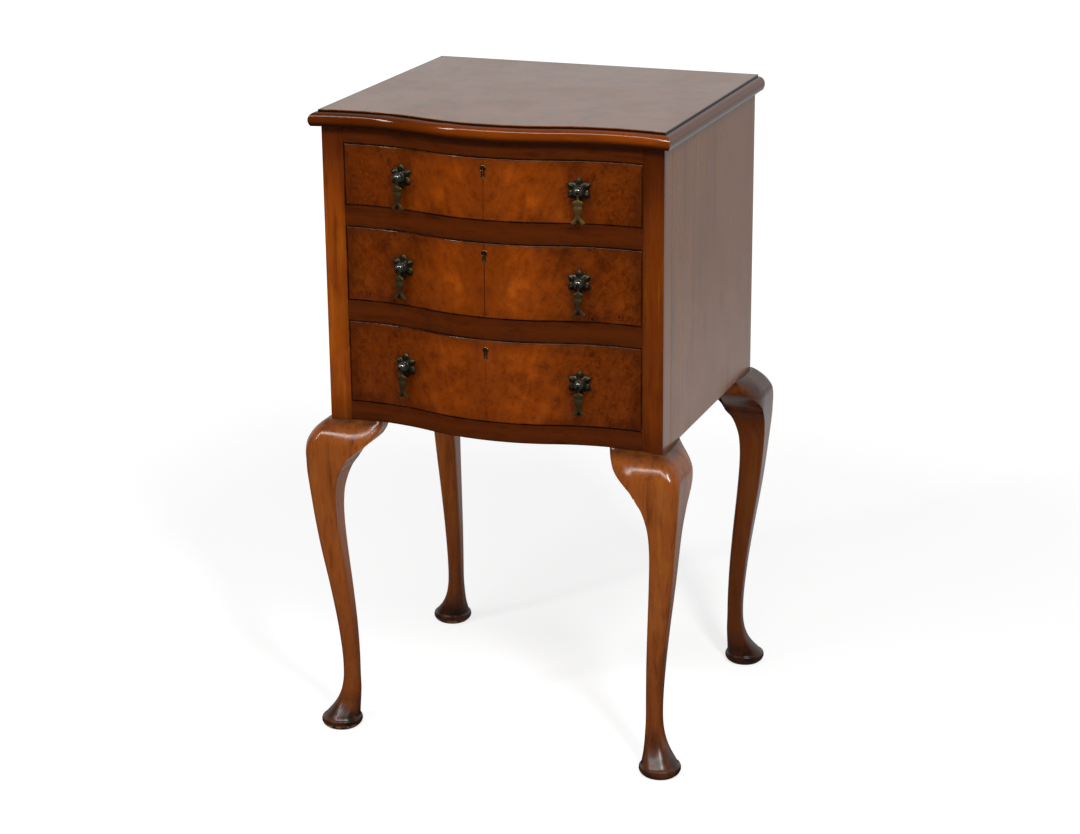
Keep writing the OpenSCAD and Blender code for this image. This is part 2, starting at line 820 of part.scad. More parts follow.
module drawer_bolt(s) {
  color(old_brass)
    difference() {
      board(
        [-bolt_w / 2, bolt_y, high(s) - bolt_down - bolt_h],
        [bolt_w / 2, bolt_y + bolt_t, high(s) - bolt_down]
      );
      translate([0, bolt_y - 1, high(s) - bolt_down - bolt_h])
        rotate([-90, 0, 0]) cylinder(r = 4, h = bolt_t + 2);
    }
}
module drawer_escutcheon(s) {
  color(old_brass)
    translate([0, 0, key_z(s)])
      upright(crest_y - 0.1, crest_y + lining_d)
        difference() {
          keyhole(escutcheon_w, escutcheon_h);
          keyhole(escutcheon_w - 2 * lining_w, escutcheon_h - 2 * lining_w);
        }
}

// Handles, drawn on the tangent plane of the front, with -Y pointing out of the drawer
petals = 6;
petal_w = 10.4;
petal_mid = rosette_r * 0.5;
petal_bend = (petal_mid * petal_mid + petal_w * petal_w / 4) / petal_w;
plate_y = -petal_sag - petal_t;
module petal() {
  translate([0, petal_mid])
    intersection() {
      translate([petal_bend - petal_w / 2, 0]) circle(petal_bend);
      translate([petal_w / 2 - petal_bend, 0]) circle(petal_bend);
    }
}
module rosette() {
  difference() {
    union() {
      upright(plate_y, -petal_sag) {
        circle(rosette_r * 0.5);
        for (k = [0 : petals - 1]) rotate(k * 360 / petals) petal();
      }
      translate([0, plate_y, 0])
        rotate([90, 0, 0]) cylinder(r1 = rosette_r * 0.5, r2 = neck_r + 1, h = collar_t);
    }
    translate([0, 5, 0]) rotate([90, 0, 0]) cylinder(r = shank_r + glue, h = 20);
  }
}
module boss() {
  difference() {
    union() {
      translate([0, -boss_y, 0]) sphere(boss_r);
      translate([0, -boss_y, 0]) rotate([-90, 0, 0]) cylinder(r = neck_r, h = boss_y + plate_y - collar_t);
      translate([0, -boss_y, 0])
        rotate([-90, 0, 0]) cylinder(r = shank_r, h = boss_y + front_t + washer_t + nut_t + 2);
    }
    board(
      [-tongue_t / 2 - 0.3, -pin_y - 12, -20],
      [tongue_t / 2 + 0.3, -pin_y + eye_r + eye_gap, -pin_z + eye_r + eye_gap]
    );
  }
  translate([-4, -pin_y, -pin_z]) rotate([0, 90, 0]) cylinder(r = pin_r, h = 8);
}
module handle_nut() {
  translate([0, front_t + 0.05, 0]) rotate([-90, 0, 0])
    difference() {
      union() {
        cylinder(r = nut_r + 1.5, h = washer_t);
        translate([0, 0, washer_t - e]) cylinder(r = nut_r, h = nut_t + e, $fn = 6);
      }
      translate([0, 0, -1]) cylinder(r = shank_r + glue / 2, h = washer_t + nut_t + 2);
    }
}
module drawer_handle_mounts(s) {
  color(old_bronze)
    for (x = [-handle_x, handle_x])
      at_handle(s, x) {
        rosette();
        boss();
        handle_nut();
      }
}
// Half outline of the drop below the boss's middle: collar, body, waist and fishtail
DROP = [
  [2, -9.6], [5.2, -10.6], [5.9, -12.4], [5, -14.2], [3.7, -15.4], [4.6, -17.4],
  [4.9, -19.4], [4.2, -22.4], [2.6, -26.4], [3.6, -28.6], [6.2, -31], [9.2, -32.8],
  [8.6, -34.6], [6.6, -35.6], [3.8, -34.8], [0, -31]
];
module drop(s, x) {
  stretch = drop_l / 35.6;
  right = [for (p = DROP) [p[0], p[1] * stretch]];
  left = [for (i = [len(DROP) - 2 : -1 : 0]) [-right[i][0], right[i][1]]];
  color(old_bronze)
    at_handle(s, x)
      difference() {
        union() {
          upright(-pin_y - drop_t / 2, -pin_y + drop_t / 2) polygon(concat(right, left));
          board([-tongue_t / 2, -pin_y - 2, -11], [tongue_t / 2, -pin_y + 2, -pin_z]);
          translate([-tongue_t / 2, -pin_y, -pin_z]) rotate([0, 90, 0]) cylinder(r = eye_r, h = tongue_t);
        }
        translate([-tongue_t, -pin_y, -pin_z])
          rotate([0, 90, 0]) cylinder(r = pin_r + pin_play, h = 2 * tongue_t);
      }
}

top_panel();
top_veneer();
front_moulding();
side_mouldings();
side_panel_left();
side_panel_right();
front_posts();
rear_posts();
back_panel();
top_rail();
upper_divider_rail();
lower_divider_rail();
bottom_rail();
rear_rails();
runners();
kickers();
guides();
drawer_stops();
bottom_board();
leg_front_left();
leg_front_right();
leg_rear_left();
leg_rear_right();
front_knee_blocks();
rear_knee_blocks();
leg_dowels();
top_screws();

drawer_front(top_span);  // top_drawer_front
drawer_veneer(top_span);  // top_drawer_veneer
drawer_sides(top_span);  // top_drawer_sides
drawer_back(top_span);  // top_drawer_back
drawer_bottom(top_span);  // top_drawer_bottom
drawer_lock(top_span);  // top_drawer_lock
drawer_bolt(top_span);  // top_drawer_bolt
drawer_escutcheon(top_span);  // top_drawer_escutcheon
drawer_handle_mounts(top_span);  // top_drawer_handle_mounts
drop(top_span, -handle_x);  // top_drawer_drop_left
drop(top_span, handle_x);  // top_drawer_drop_right

drawer_front(middle_span);  // middle_drawer_front
drawer_veneer(middle_span);  // middle_drawer_veneer
drawer_sides(middle_span);  // middle_drawer_sides
drawer_back(middle_span);  // middle_drawer_back
drawer_bottom(middle_span);  // middle_drawer_bottom
drawer_lock(middle_span);  // middle_drawer_lock
drawer_bolt(middle_span);  // middle_drawer_bolt
drawer_escutcheon(middle_span);  // middle_drawer_escutcheon
drawer_handle_mounts(middle_span);  // middle_drawer_handle_mounts
drop(middle_span, -handle_x);  // middle_drawer_drop_left
drop(middle_span, handle_x);  // middle_drawer_drop_right

drawer_front(bottom_span);  // bottom_drawer_front
drawer_veneer(bottom_span);  // bottom_drawer_veneer
drawer_sides(bottom_span);  // bottom_drawer_sides
drawer_back(bottom_span);  // bottom_drawer_back
drawer_bottom(bottom_span);  // bottom_drawer_bottom
drawer_lock(bottom_span);  // bottom_drawer_lock
drawer_bolt(bottom_span);  // bottom_drawer_bolt
drawer_escutcheon(bottom_span);  // bottom_drawer_escutcheon
drawer_handle_mounts(bottom_span);  // bottom_drawer_handle_mounts
drop(bottom_span, -handle_x);  // bottom_drawer_drop_left
drop(bottom_span, handle_x);  // bottom_drawer_drop_right
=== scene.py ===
"""Dresses a bedside chest of three drawers in burr walnut, with carved legs and old bronze handles.

Everything is in metres in the chest's own frame: X runs across the front, -Y is the front, Z is up.
"""

import json
import math

import bmesh
import bpy
from mathutils import Matrix, Vector


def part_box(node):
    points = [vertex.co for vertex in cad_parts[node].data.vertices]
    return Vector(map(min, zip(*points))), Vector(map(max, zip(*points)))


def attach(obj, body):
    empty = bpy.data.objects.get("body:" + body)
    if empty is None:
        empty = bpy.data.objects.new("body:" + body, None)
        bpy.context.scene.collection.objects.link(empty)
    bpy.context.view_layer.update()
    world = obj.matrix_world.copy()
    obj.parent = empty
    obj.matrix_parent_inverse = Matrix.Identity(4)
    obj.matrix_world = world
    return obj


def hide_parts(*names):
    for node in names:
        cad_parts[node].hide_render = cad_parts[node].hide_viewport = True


bl_info = {
    "name": "Serpentine Bedside Chest",
    "version": (1, 0, 0),
    "blender": (4, 5, 0),
    "location": "View3D > Sidebar > Chest",
    "description": "Gives a small serpentine chest of drawers its veneers, mouldings, legs and handles",
    "category": "Object",
}

MM = 0.001
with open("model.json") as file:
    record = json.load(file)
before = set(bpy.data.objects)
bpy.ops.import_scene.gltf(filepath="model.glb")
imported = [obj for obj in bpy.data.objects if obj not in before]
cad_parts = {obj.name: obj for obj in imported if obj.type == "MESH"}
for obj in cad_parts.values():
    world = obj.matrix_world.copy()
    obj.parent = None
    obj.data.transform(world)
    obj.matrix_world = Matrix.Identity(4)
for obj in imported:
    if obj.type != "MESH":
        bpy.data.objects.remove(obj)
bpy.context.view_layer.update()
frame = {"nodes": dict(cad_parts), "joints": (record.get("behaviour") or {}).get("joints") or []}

# Places that the solid model gives
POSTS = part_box("front_posts")
CASE_HALF = POSTS[1].x
YF = POSTS[0].y
POST_BACK = POSTS[1].y
LEG_H = POSTS[0].z
CASE_TOP = POSTS[1].z
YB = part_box("rear_posts")[1].y
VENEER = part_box("top_veneer")
TOP_BACK = VENEER[1].y
TOP_LIP = VENEER[1].x - CASE_HALF
MOULD_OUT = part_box("side_mouldings")[1].x - CASE_HALF
OPEN_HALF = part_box("rear_rails")[1].x
CREST_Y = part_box("middle_drawer_veneer")[0].y

# Axes that figure runs along
ACROSS = 0
TO_THE_BACK = 1
UPRIGHT = 2

DRAWERS = ("top", "middle", "bottom")
SIDES = ("left", "right")
RAILS = ("top_rail", "upper_divider_rail", "lower_divider_rail", "bottom_rail")


def linear(hex_colour):
    """An sRGB hex colour as linear red, green, blue and alpha."""
    levels = [int(hex_colour[i:i + 2], 16) / 255 for i in (1, 3, 5)]
    return [v / 12.92 if v <= 0.04045 else ((v + 0.055) / 1.055) ** 2.4 for v in levels] + [1.0]


def length(name, description, millimetres):
    """A size that the user may change."""
    return bpy.props.FloatProperty(
        name=name, description=description, default=millimetres * MM, unit="LENGTH", min=0.0
    )


def colour(name, description, hex_colour):
    """A colour that the user may change."""
    return bpy.props.FloatVectorProperty(
        name=name, description=description, default=linear(hex_colour)[:3], subtype="COLOR", size=3
    )


class ChestSizes(bpy.types.PropertyGroup):
    """Sizes of the shapes that are modelled here."""

    wave: length("Wave", "Depth of the front's wave, from its hollows to its crest", 22.6)
    hollow_in: length("Hollow", "Distance of a hollow's deepest line from the side of the case", 50)
    rail_edge: length("Rail edge", "Rounding of the rails' front edges", 0.6)
    drawer_edge: length("Drawer edge", "Rounding of the drawer fronts' edges", 0.9)
    top_edge: length("Top edge", "Rounding of the top veneer's edge", 0.5)
    board_edge: length("Board edge", "Easing of plain boards' edges", 0.4)
    post_edge: length("Post edge", "Rounding of the posts' outer corners", 1.6)
    mould_in: length("Moulding width", "Width of the moulding strip that lies over the case", 14)
    fillet_h: length("Fillet", "Height of the upright fillet over the moulding's round", 2.6)
    nose_h: length("Nose", "Height of the moulding's round above its widest line", 8)
    pad_r: length("Pad", "Radius of the pad foot", 24.2)
    ankle_w: length("Ankle", "Width of the ankle", 18.5)
    knee_out: length("Knee", "Reach of the knee beyond the case", 25.5)
    leg_block: length("Leg block", "Width of the square block at the head of a leg", 25)
    knee_ledge: length("Knee ledge", "Projection of the leg's top edge beyond the case", 3)
    ear_l: length("Knee block length", "Length of a knee block beyond the leg", 37.5)
    ear_t: length("Knee block depth", "Depth of a knee block from the face of the case", 23)
    ear_h: length("Knee block height", "Height of the joint between a knee block and its leg", 47)
    rosette_r: length("Rosette", "Radius of a handle's rosette over its petals", 14.6)
    boss_r: length("Boss", "Radius of a handle's domed boss", 5.6)
    drop_t: length("Drop thickness", "Thickness of the hanging drop", 4)


class ChestColours(bpy.types.PropertyGroup):
    """Colours of the woods and metals."""

    burr_light: colour("Burr, light", "Lightest clouds of the burr walnut", "#a04a08")
    burr_mid: colour("Burr, middle", "Main colour of the burr walnut", "#873a04")
    burr_dark: colour("Burr, dark", "Darker clouds of the burr walnut", "#571f02")
    burr_eye: colour("Burr, eyes", "Eyes and fine cracks of the burr walnut", "#200a01")
    walnut_light: colour("Walnut, light", "Lighter streaks of the straight walnut", "#985009")
    walnut_mid: colour("Walnut, middle", "Main colour of the straight walnut", "#803905")
    walnut_dark: colour("Walnut, dark", "Dark streaks of the straight walnut", "#552203")
    leg_light: colour("Legs, light", "Lighter streaks of the legs", "#93551d")
    leg_mid: colour("Legs, middle", "Main colour of the legs", "#854416")
    leg_dark: colour("Legs, dark", "Dark streaks of the legs", "#50240c")
    side_light: colour("Sides, light", "Paler streaks of the side veneer", "#824e22")
    side_mid: colour("Sides, middle", "Main colour of the side veneer", "#784417")
    side_dark: colour("Sides, dark", "Darker streaks of the side veneer", "#5d300d")
    rail_light: colour("Rails, light", "Lighter streaks of the rails", "#4f1f02")
    rail_dark: colour("Rails, dark", "Dark streaks of the rails", "#3b1301")
    # Darkened wax, and also painted shade in gaps, creases, under the moulding and the case, and inside
    # keyholes
    wax_and_shade: colour("Old wax", "Darkened wax in corners and round the feet", "#150802")
    pine: colour("Pine", "Aged pine inside the case", "#a9783f")
    oak: colour("Oak", "Drawer linings", "#b08a55")
    bronze: colour("Bronze", "Bare metal of the handles", "#7b6434")
    patina: colour("Patina", "Dark skin of the handles", "#1b1e19")
    boss_metal: colour("Boss", "Dark polished metal of the bosses", "#5f605a")
    brass: colour("Brass", "Keyhole linings and locks", "#b0935a")
    steel: colour("Steel", "Screws that hold the top", "#8b8780")


# Node building


def add(tree, kind, inputs=None, ramp=None, **settings):
    """Adds a node with its settings. An input is a value or the socket that feeds it."""
    node = tree.nodes.new(kind)
    for name, value in settings.items():
        setattr(node, name, value)
    for name, value in (inputs or {}).items():
        if isinstance(value, bpy.types.NodeSocket):
            tree.links.new(value, node.inputs[name])
        else:
            node.inputs[name].default_value = value
    if ramp:
        stops = node.color_ramp.elements
        while len(stops) < len(ramp):
            stops.new(0.5)
        for stop, (place, value) in zip(stops, ramp):
            stop.position = place
            stop.color = value
    return node


def rgba(value):
    return [value[0], value[1], value[2], 1.0]


def grey(value):
    return [value, value, value, 1.0]


def new_tree(name):
    """A new material's node tree, emptied."""
    material = bpy.data.materials.new(name)
    material.use_nodes = True
    material.node_tree.nodes.clear()
    return material, material.node_tree


def per_metre(millimetres):
    """Scale of a noise whose features are this far apart."""
    return 1 / (millimetres * MM)


def object_place(tree):
    """Where a point of the surface lies in the chest's frame."""
    return add(tree, "ShaderNodeTexCoord").outputs["Object"]


def axes(tree, place):
    """A place's X, Y and Z."""
    return add(tree, "ShaderNodeSeparateXYZ", {"Vector": place}).outputs


def warped(tree, place, spacing, amount, detail=2.0):
    """The place moved about by a soft noise, which makes straight figure wander."""
    noise = add(
        tree, "ShaderNodeTexNoise",
        {"Vector": place, "Scale": per_metre(spacing), "Detail": detail, "Roughness": 0.5},
    )
    centred = add(
        tree, "ShaderNodeVectorMath", {0: noise.outputs["Color"], 1: (0.5, 0.5, 0.5)},
        operation="SUBTRACT",
    )
    moved = add(
        tree, "ShaderNodeVectorMath",
        {0: centred.outputs[0], "Scale": 2 * amount * MM}, operation="SCALE",
    )
    return add(
        tree, "ShaderNodeVectorMath", {0: place, 1: moved.outputs[0]}, operation="ADD"
    ).outputs[0]


def stretched(tree, place, factors):
    """The place scaled along each axis, so that figure runs along the axis with the small factor."""
    return add(
        tree, "ShaderNodeVectorMath", {0: place, 1: factors}, operation="MULTIPLY"
    ).outputs[0]


def clouds(tree, place, spacing, detail, roughness=0.55):
    """Soft noise with features of this spacing, from 0 to 1."""
    return add(
        tree, "ShaderNodeTexNoise",
        {"Vector": place, "Scale": per_metre(spacing), "Detail": detail, "Roughness": roughness},
    ).outputs["Fac"]


def between(tree, value, low, high, to_low=0.0, to_high=1.0):
    """The value's range low to high, eased into the range to_low to to_high."""
    return add(
        tree, "ShaderNodeMapRange",
        {"Value": value, "From Min": low, "From Max": high, "To Min": to_low, "To Max": to_high},
        interpolation_type="SMOOTHSTEP",
    ).outputs[0]


def math_node(tree, operation, a, b=0.0):
    return add(tree, "ShaderNodeMath", {0: a, 1: b}, operation=operation).outputs[0]


def times(tree, a, b):
    return math_node(tree, "MULTIPLY", a, b)


def blended(tree, share, first, second, how="MIX"):
    """The first colour, mixed towards the second by the share."""
    return add(
        tree, "ShaderNodeMix", {0: share, 6: first, 7: second}, data_type="RGBA", blend_type=how
    ).outputs[2]


def tinted(tree, tone, value, low, high, share, tint):
    """The tone mixed towards a tint: not at all where the value is low, by the share where high."""
    return blended(tree, between(tree, value, low, high, 0.0, share), tone, rgba(tint))


def from_edge(tree, value, low, high):
    """Distance inward from the nearer of two edges."""
    away = math_node(tree, "ABSOLUTE", math_node(tree, "SUBTRACT", value, (low + high) / 2))
    return math_node(tree, "SUBTRACT", (high - low) / 2, away)


def wax_and_gap_shade(tree, tone, place, edges, colours, reach_mm=2.2, strength=0.85):
    """Darkened wax and polish along a piece's edges, thicker in some places than in others, mixed with
    painted shade of the gaps at those edges.
    """
    patchy = between(tree, clouds(tree, place, 16, 3), 0.3, 0.65, 0.55, 1.0)
    share = 0.0
    for inward in edges:
        # A dark line at each edge and a softer fall-off inward: painted gap shade as well as old wax
        line = between(tree, inward, reach_mm * MM, 0.2 * MM, 0.0, strength)
        soft = between(tree, inward, 8 * reach_mm * MM, 0.0, 0.0, 0.35 * strength)
        share = math_node(tree, "MAXIMUM", share, math_node(tree, "MAXIMUM", line, soft))
    return blended(tree, times(tree, share, patchy), tone, rgba(colours.wax_and_shade))


def surface(tree, base, relief, relief_mm, values):
    """The shader with its base colour, fine relief and other values, joined to the output."""
    bump = add(
        tree, "ShaderNodeBump", {"Strength": 1.0, "Distance": relief_mm * MM, "Height": relief}
    )
    shader = add(
        tree, "ShaderNodeBsdfPrincipled", {"Base Color": base, "Normal": bump.outputs[0], **values}
    )
    add(tree, "ShaderNodeOutputMaterial", {"Surface": shader.outputs[0]})


def finish_wood(tree, base, relief, relief_mm, roughness, level=0.5):
    """Wood under French polish. The polish soaks in, so one clear skin of shellac gives the shine."""
    values = {"Roughness": roughness, "IOR": 1.5, "Specular IOR Level": level}
    surface(tree, base, relief, relief_mm, values)


def burr_figure(tree, leaf, colours, busy):
    """Colour and relief of burr walnut: clouds and slanting curl, with knots and eyes where busy."""
    wandering = warped(tree, leaf, 42, 9)
    curling = warped(tree, wandering, 14, 3.5, 3.0)
    cloud = clouds(tree, wandering, 30, 4, 0.58)
    dim = [0.7 * a + 0.3 * b for a, b in zip(colours.burr_dark, colours.burr_mid)]
    tone = add(
        tree, "ShaderNodeValToRGB", {"Fac": cloud},
        ramp=[
            (0.3, rgba(dim)),
            (0.45, rgba(colours.burr_mid)), (0.57, rgba(colours.burr_mid)),
            (0.72, rgba(colours.burr_light)),
        ],
    ).outputs["Color"]
    patch = clouds(tree, curling, 12, 4, 0.6)
    tone = tinted(tree, tone, patch, 0.5, 0.72, 0.5, colours.burr_dark)
    tone = tinted(tree, tone, patch, 0.48, 0.28, 0.35, colours.burr_light)
    slanting = add(
        tree, "ShaderNodeMapping",
        {"Vector": wandering, "Rotation": (0.0, 0.45, 0.0), "Scale": (1.0, 1.0, 6.0)},
        vector_type="TEXTURE",
    ).outputs[0]
    curl = clouds(tree, slanting, 5.5, 4, 0.6)
    tone = tinted(tree, tone, curl, 0.48, 0.72, 0.3, colours.burr_dark)
    tone = tinted(tree, tone, curl, 0.5, 0.3, 0.22, colours.burr_light)
    mottle = clouds(tree, curling, 7.5, 3, 0.55)
    knots = between(tree, mottle, 0.54, 0.7, 0.0, 0.6)
    tone = blended(tree, times(tree, knots, busy), tone, rgba(colours.burr_dark))
    flecks = between(tree, mottle, 0.46, 0.28, 0.0, 0.4)
    tone = blended(tree, times(tree, flecks, busy), tone, rgba(colours.burr_light))
    speckle = clouds(tree, curling, 3.2, 3, 0.6)
    tone = tinted(tree, tone, speckle, 0.5, 0.72, 0.2, colours.burr_dark)
    tone = tinted(tree, tone, speckle, 0.48, 0.3, 0.14, colours.burr_light)
    from_eye = add(
        tree, "ShaderNodeTexVoronoi", {"Vector": curling, "Scale": per_metre(15), "Randomness": 1.0}
    ).outputs["Distance"]
    clustered = times(tree, between(tree, clouds(tree, leaf, 50, 2), 0.48, 0.6), busy)
    eye = times(tree, between(tree, from_eye, 0.2, 0.05), clustered)
    tone = blended(tree, times(tree, eye, 0.8), tone, rgba(colours.burr_eye))
    outline = times(tree, between(tree, from_eye, 0.2, 0.25), between(tree, from_eye, 0.33, 0.27))
    outline = times(tree, outline, clustered)
    tone = blended(tree, times(tree, outline, 0.8), tone, rgba(colours.burr_dark))
    crack = clouds(tree, curling, 22, 3, 0.5)
    crack = times(tree, between(tree, crack, 0.48, 0.5), between(tree, crack, 0.52, 0.5))
    tone = blended(tree, times(tree, crack, times(tree, busy, 0.5)), tone, rgba(colours.burr_dark))
    return tone, mottle


# Where the leaves on the drawers and on the top cut through the burr's figure
FRONT_SLICE = 0.35
TOP_SLICE = 0.1

# How dark the joint between the two leaves of burr is on each drawer
LEAF_JOINT = {"top_drawer": 0.4, "middle_drawer": 0.95, "bottom_drawer": 0.3}


def shade_and_polish_round_rosettes(tree, place, body):
    """Share of darkening on the veneer round both rosettes of a drawer: old polish and painted shade of
    the raised rosettes.
    """
    nearest = 1.0
    for joint in frame["joints"]:
        if joint["name"].startswith(body.split("_")[0]) and "_drop_" in joint["name"]:
            away = add(
                tree, "ShaderNodeVectorMath", {0: place, 1: joint["pos_m"]}, operation="DISTANCE"
            ).outputs["Value"]
            nearest = math_node(tree, "MINIMUM", away, nearest)
    patchy = between(tree, clouds(tree, place, 9, 3), 0.35, 0.62, 0.1, 1.0)
    return times(tree, between(tree, nearest, 26 * MM, 14 * MM, 0.0, 0.55), patchy)


def burr_walnut(colours, body):
    """Burr walnut veneer, matched at the middle and French-polished: painted light on the crest and
    painted shade towards the ends, partly its own tone, between dark knots.
    """
    material, tree = new_tree(f"burr_walnut_french_polished_{body}")
    low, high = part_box(f"{body}_veneer")
    place = object_place(tree)
    parts = axes(tree, place)
    mirrored = math_node(tree, "ABSOLUTE", parts["X"])
    leaf = add(
        tree, "ShaderNodeCombineXYZ", {"X": mirrored, "Y": FRONT_SLICE, "Z": parts["Z"]}
    ).outputs[0]
    wavering = math_node(
        tree, "ADD", mirrored, between(tree, clouds(tree, leaf, 40, 3), 0.2, 0.8, -0.022, 0.022)
    )
    tone, relief = burr_figure(tree, leaf, colours, between(tree, wavering, 0.06, 0.125, 0.12, 1.0))
    # Painted light and shade across the drawer: lighter on the crest, darker towards the hollows and
    # ends, partly the veneer's own tone
    crest_light_and_tone = add(
        tree, "ShaderNodeValToRGB", {"Fac": math_node(tree, "DIVIDE", wavering, high.x)},
        ramp=[
            (0.0, grey(0.66)), (0.1, grey(0.72)), (0.25, grey(0.93)), (0.4, grey(0.75)),
            (0.55, grey(0.52)), (0.7, grey(0.5)), (0.85, grey(0.54)), (1.0, grey(0.42)),
        ],
    ).outputs["Color"]
    tone = blended(tree, 1.0, tone, crest_light_and_tone, "MULTIPLY")
    left_leaf = between(tree, parts["X"], -0.2 * MM, 0.2 * MM, 0.14, 0.0)
    tone = blended(tree, left_leaf, tone, rgba(colours.burr_dark))
    tone = tinted(tree, tone, mirrored, 0.7 * MM, 0.15 * MM, LEAF_JOINT[body], colours.burr_eye)
    edges = [
        from_edge(tree, parts["X"], low.x, high.x),
        from_edge(tree, parts["Z"], low.z, high.z),
    ]
    # Old wax on the drawer's edges, with painted shade of the gaps round the drawer
    tone = wax_and_gap_shade(tree, tone, place, edges, colours)
    # Darker round the rosettes: old polish and painted shade
    tone = blended(tree, shade_and_polish_round_rosettes(tree, place, body), tone, rgba(colours.wax_and_shade))
    smear = clouds(tree, place, 55, 3)
    finish_wood(tree, tone, relief, 0.03, between(tree, smear, 0.3, 0.7, 0.11, 0.17))
    return material


def walnut_top(colours):
    """The top's burr veneer in two matched leaves, its polish worn: dark specks under a pale sheen."""
    material, tree = new_tree("burr_walnut_worn_polish")
    place = object_place(tree)
    parts = axes(tree, place)
    leaf = add(
        tree, "ShaderNodeCombineXYZ",
        {"X": math_node(tree, "ABSOLUTE", parts["X"]), "Y": TOP_SLICE, "Z": parts["Y"]},
    ).outputs[0]
    tone, relief = burr_figure(tree, leaf, colours, 0.8)
    tone = blended(tree, 1.0, tone, [0.6, 0.95, 0.8, 1.0], "MULTIPLY")
    tone = tinted(tree, tone, clouds(tree, place, 6, 2), 0.71, 0.76, 1.0, colours.burr_eye)
    edges = [
        from_edge(tree, parts["X"], VENEER[0].x, VENEER[1].x),
        math_node(tree, "SUBTRACT", TOP_BACK, parts["Y"]),
    ]
    # Old wax with painted shade along the top's side and back edges
    tone = wax_and_gap_shade(tree, tone, place, edges, colours, 1.4)
    smear = clouds(tree, place, 70, 4)
    finish_wood(tree, tone, relief, 0.03, between(tree, smear, 0.3, 0.7, 0.17, 0.24))
    return material


def straight_figure(tree, place, along, light, middle, dark, streak_mm):
    """Colour and relief of straight walnut: streaks, fibre, and pores drawn coarse enough to show."""
    across = [1.0, 1.0, 1.0]
    across[along] = 0.07
    wandering = warped(tree, place, 60, 3)
    grain = stretched(tree, wandering, across)
    streak = clouds(tree, grain, streak_mm, 3, 0.5)
    tone = add(
        tree, "ShaderNodeValToRGB", {"Fac": streak},
        ramp=[(0.26, rgba(dark)), (0.45, rgba(middle)), (0.57, rgba(middle)), (0.76, rgba(light))],
    ).outputs["Color"]
    fibre = clouds(tree, grain, max(2.6, 0.3 * streak_mm), 2, 0.5)
    tone = tinted(tree, tone, fibre, 0.5, 0.75, 0.4, dark)
    across[along] = 0.1
    pore_mm = max(1.5, 0.18 * streak_mm)
    pore = between(tree, clouds(tree, stretched(tree, wandering, across), pore_mm, 1), 0.62, 0.74)
    tone = blended(tree, times(tree, pore, 0.35), tone, rgba(dark))
    tone = tinted(tree, tone, clouds(tree, place, 50, 2), 0.52, 0.75, 0.3, light)
    return tone, fibre


def straight_wood(name, along, tones, rough, aged, streak_mm=9.0, relief_mm=0.02, level=0.5):
    """A polished wood with straight figure along one axis. What ages it changes its tone in places."""
    material, tree = new_tree(name)
    place = object_place(tree)
    tone, relief = straight_figure(tree, place, along, *tones, streak_mm)
    tone = aged(tree, place, tone)
    smear = clouds(tree, place, 40, 3)
    roughness = between(tree, smear, 0.3, 0.7, rough - 0.03, rough + 0.04)
    finish_wood(tree, tone, relief, relief_mm, roughness, level)
    return material


def walnut_posts(colours):
    """Straight walnut, French-polished: warm upright streaks, dark under the moulding with painted
    shade and old wax.
    """

    def aged(tree, place, tone):
        parts = axes(tree, place)
        inward = math_node(tree, "SUBTRACT", math_node(tree, "ABSOLUTE", parts["X"]), OPEN_HALF)
        # Old wax with painted gap shade along the posts' edges beside the drawers
        tone = wax_and_gap_shade(tree, tone, place, [inward], colours, 1.4)
        # Darker under the moulding: painted shade of its overhang, partly old wax; also darker towards
        # the bottom and on the right post
        high = between(tree, parts["Z"], CASE_TOP - 0.1, CASE_TOP, 0.0, 0.85)
        low = between(tree, parts["Z"], LEG_H + 0.045, LEG_H, 0.0, 0.5)
        right = between(tree, parts["X"], -0.1, 0.1, 0.0, 0.48)
        for share in (high, low, right):
            tone = blended(tree, share, tone, rgba(colours.rail_dark))
        round_the_corner = between(tree, parts["Y"], YF + 5 * MM, YF + 9 * MM)
        return blended(tree, round_the_corner, tone, rgba(colours.side_mid))

    tones = (colours.walnut_light, colours.walnut_mid, colours.walnut_dark)
    return straight_wood("walnut_straight_polished", UPRIGHT, tones, 0.15, aged=aged)


def walnut_sides(colours):
    """Plain walnut veneer on the sides: quieter than the front, broad soft streaks under the polish."""

    def aged(tree, place, tone):
        patch = clouds(tree, stretched(tree, place, (1.0, 1.0, 0.45)), 60, 2, 0.5)
        tone = tinted(tree, tone, patch, 0.45, 0.7, 0.35, colours.side_light)
        return tinted(tree, tone, patch, 0.48, 0.28, 0.25, colours.side_dark)

    tones = (colours.side_light, colours.side_mid, colours.side_dark)
    return straight_wood(
        "walnut_veneer_polished", UPRIGHT, tones, 0.2, streak_mm=22.0, relief_mm=0.001, aged=aged
    )


def walnut_rails(colours):
    """Darker straight-grained walnut lying across the front: a dull red-brown between the drawers."""

    def aged(tree, place, tone):
        height = axes(tree, place)["Z"]
        inward = -1.0
        for rail in RAILS:
            low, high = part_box(rail)
            inward = math_node(tree, "MAXIMUM", from_edge(tree, height, low.z, high.z), inward)
        # Dark lines at the rails' edges: old wax and painted shade of the gaps above and below the
        # drawers
        return wax_and_gap_shade(tree, tone, place, [inward], colours, 1.5, 0.95)

    tones = (colours.rail_light, colours.rail_light, colours.rail_dark)
    return straight_wood("walnut_dark_polished", ACROSS, tones, 0.16, aged=aged)


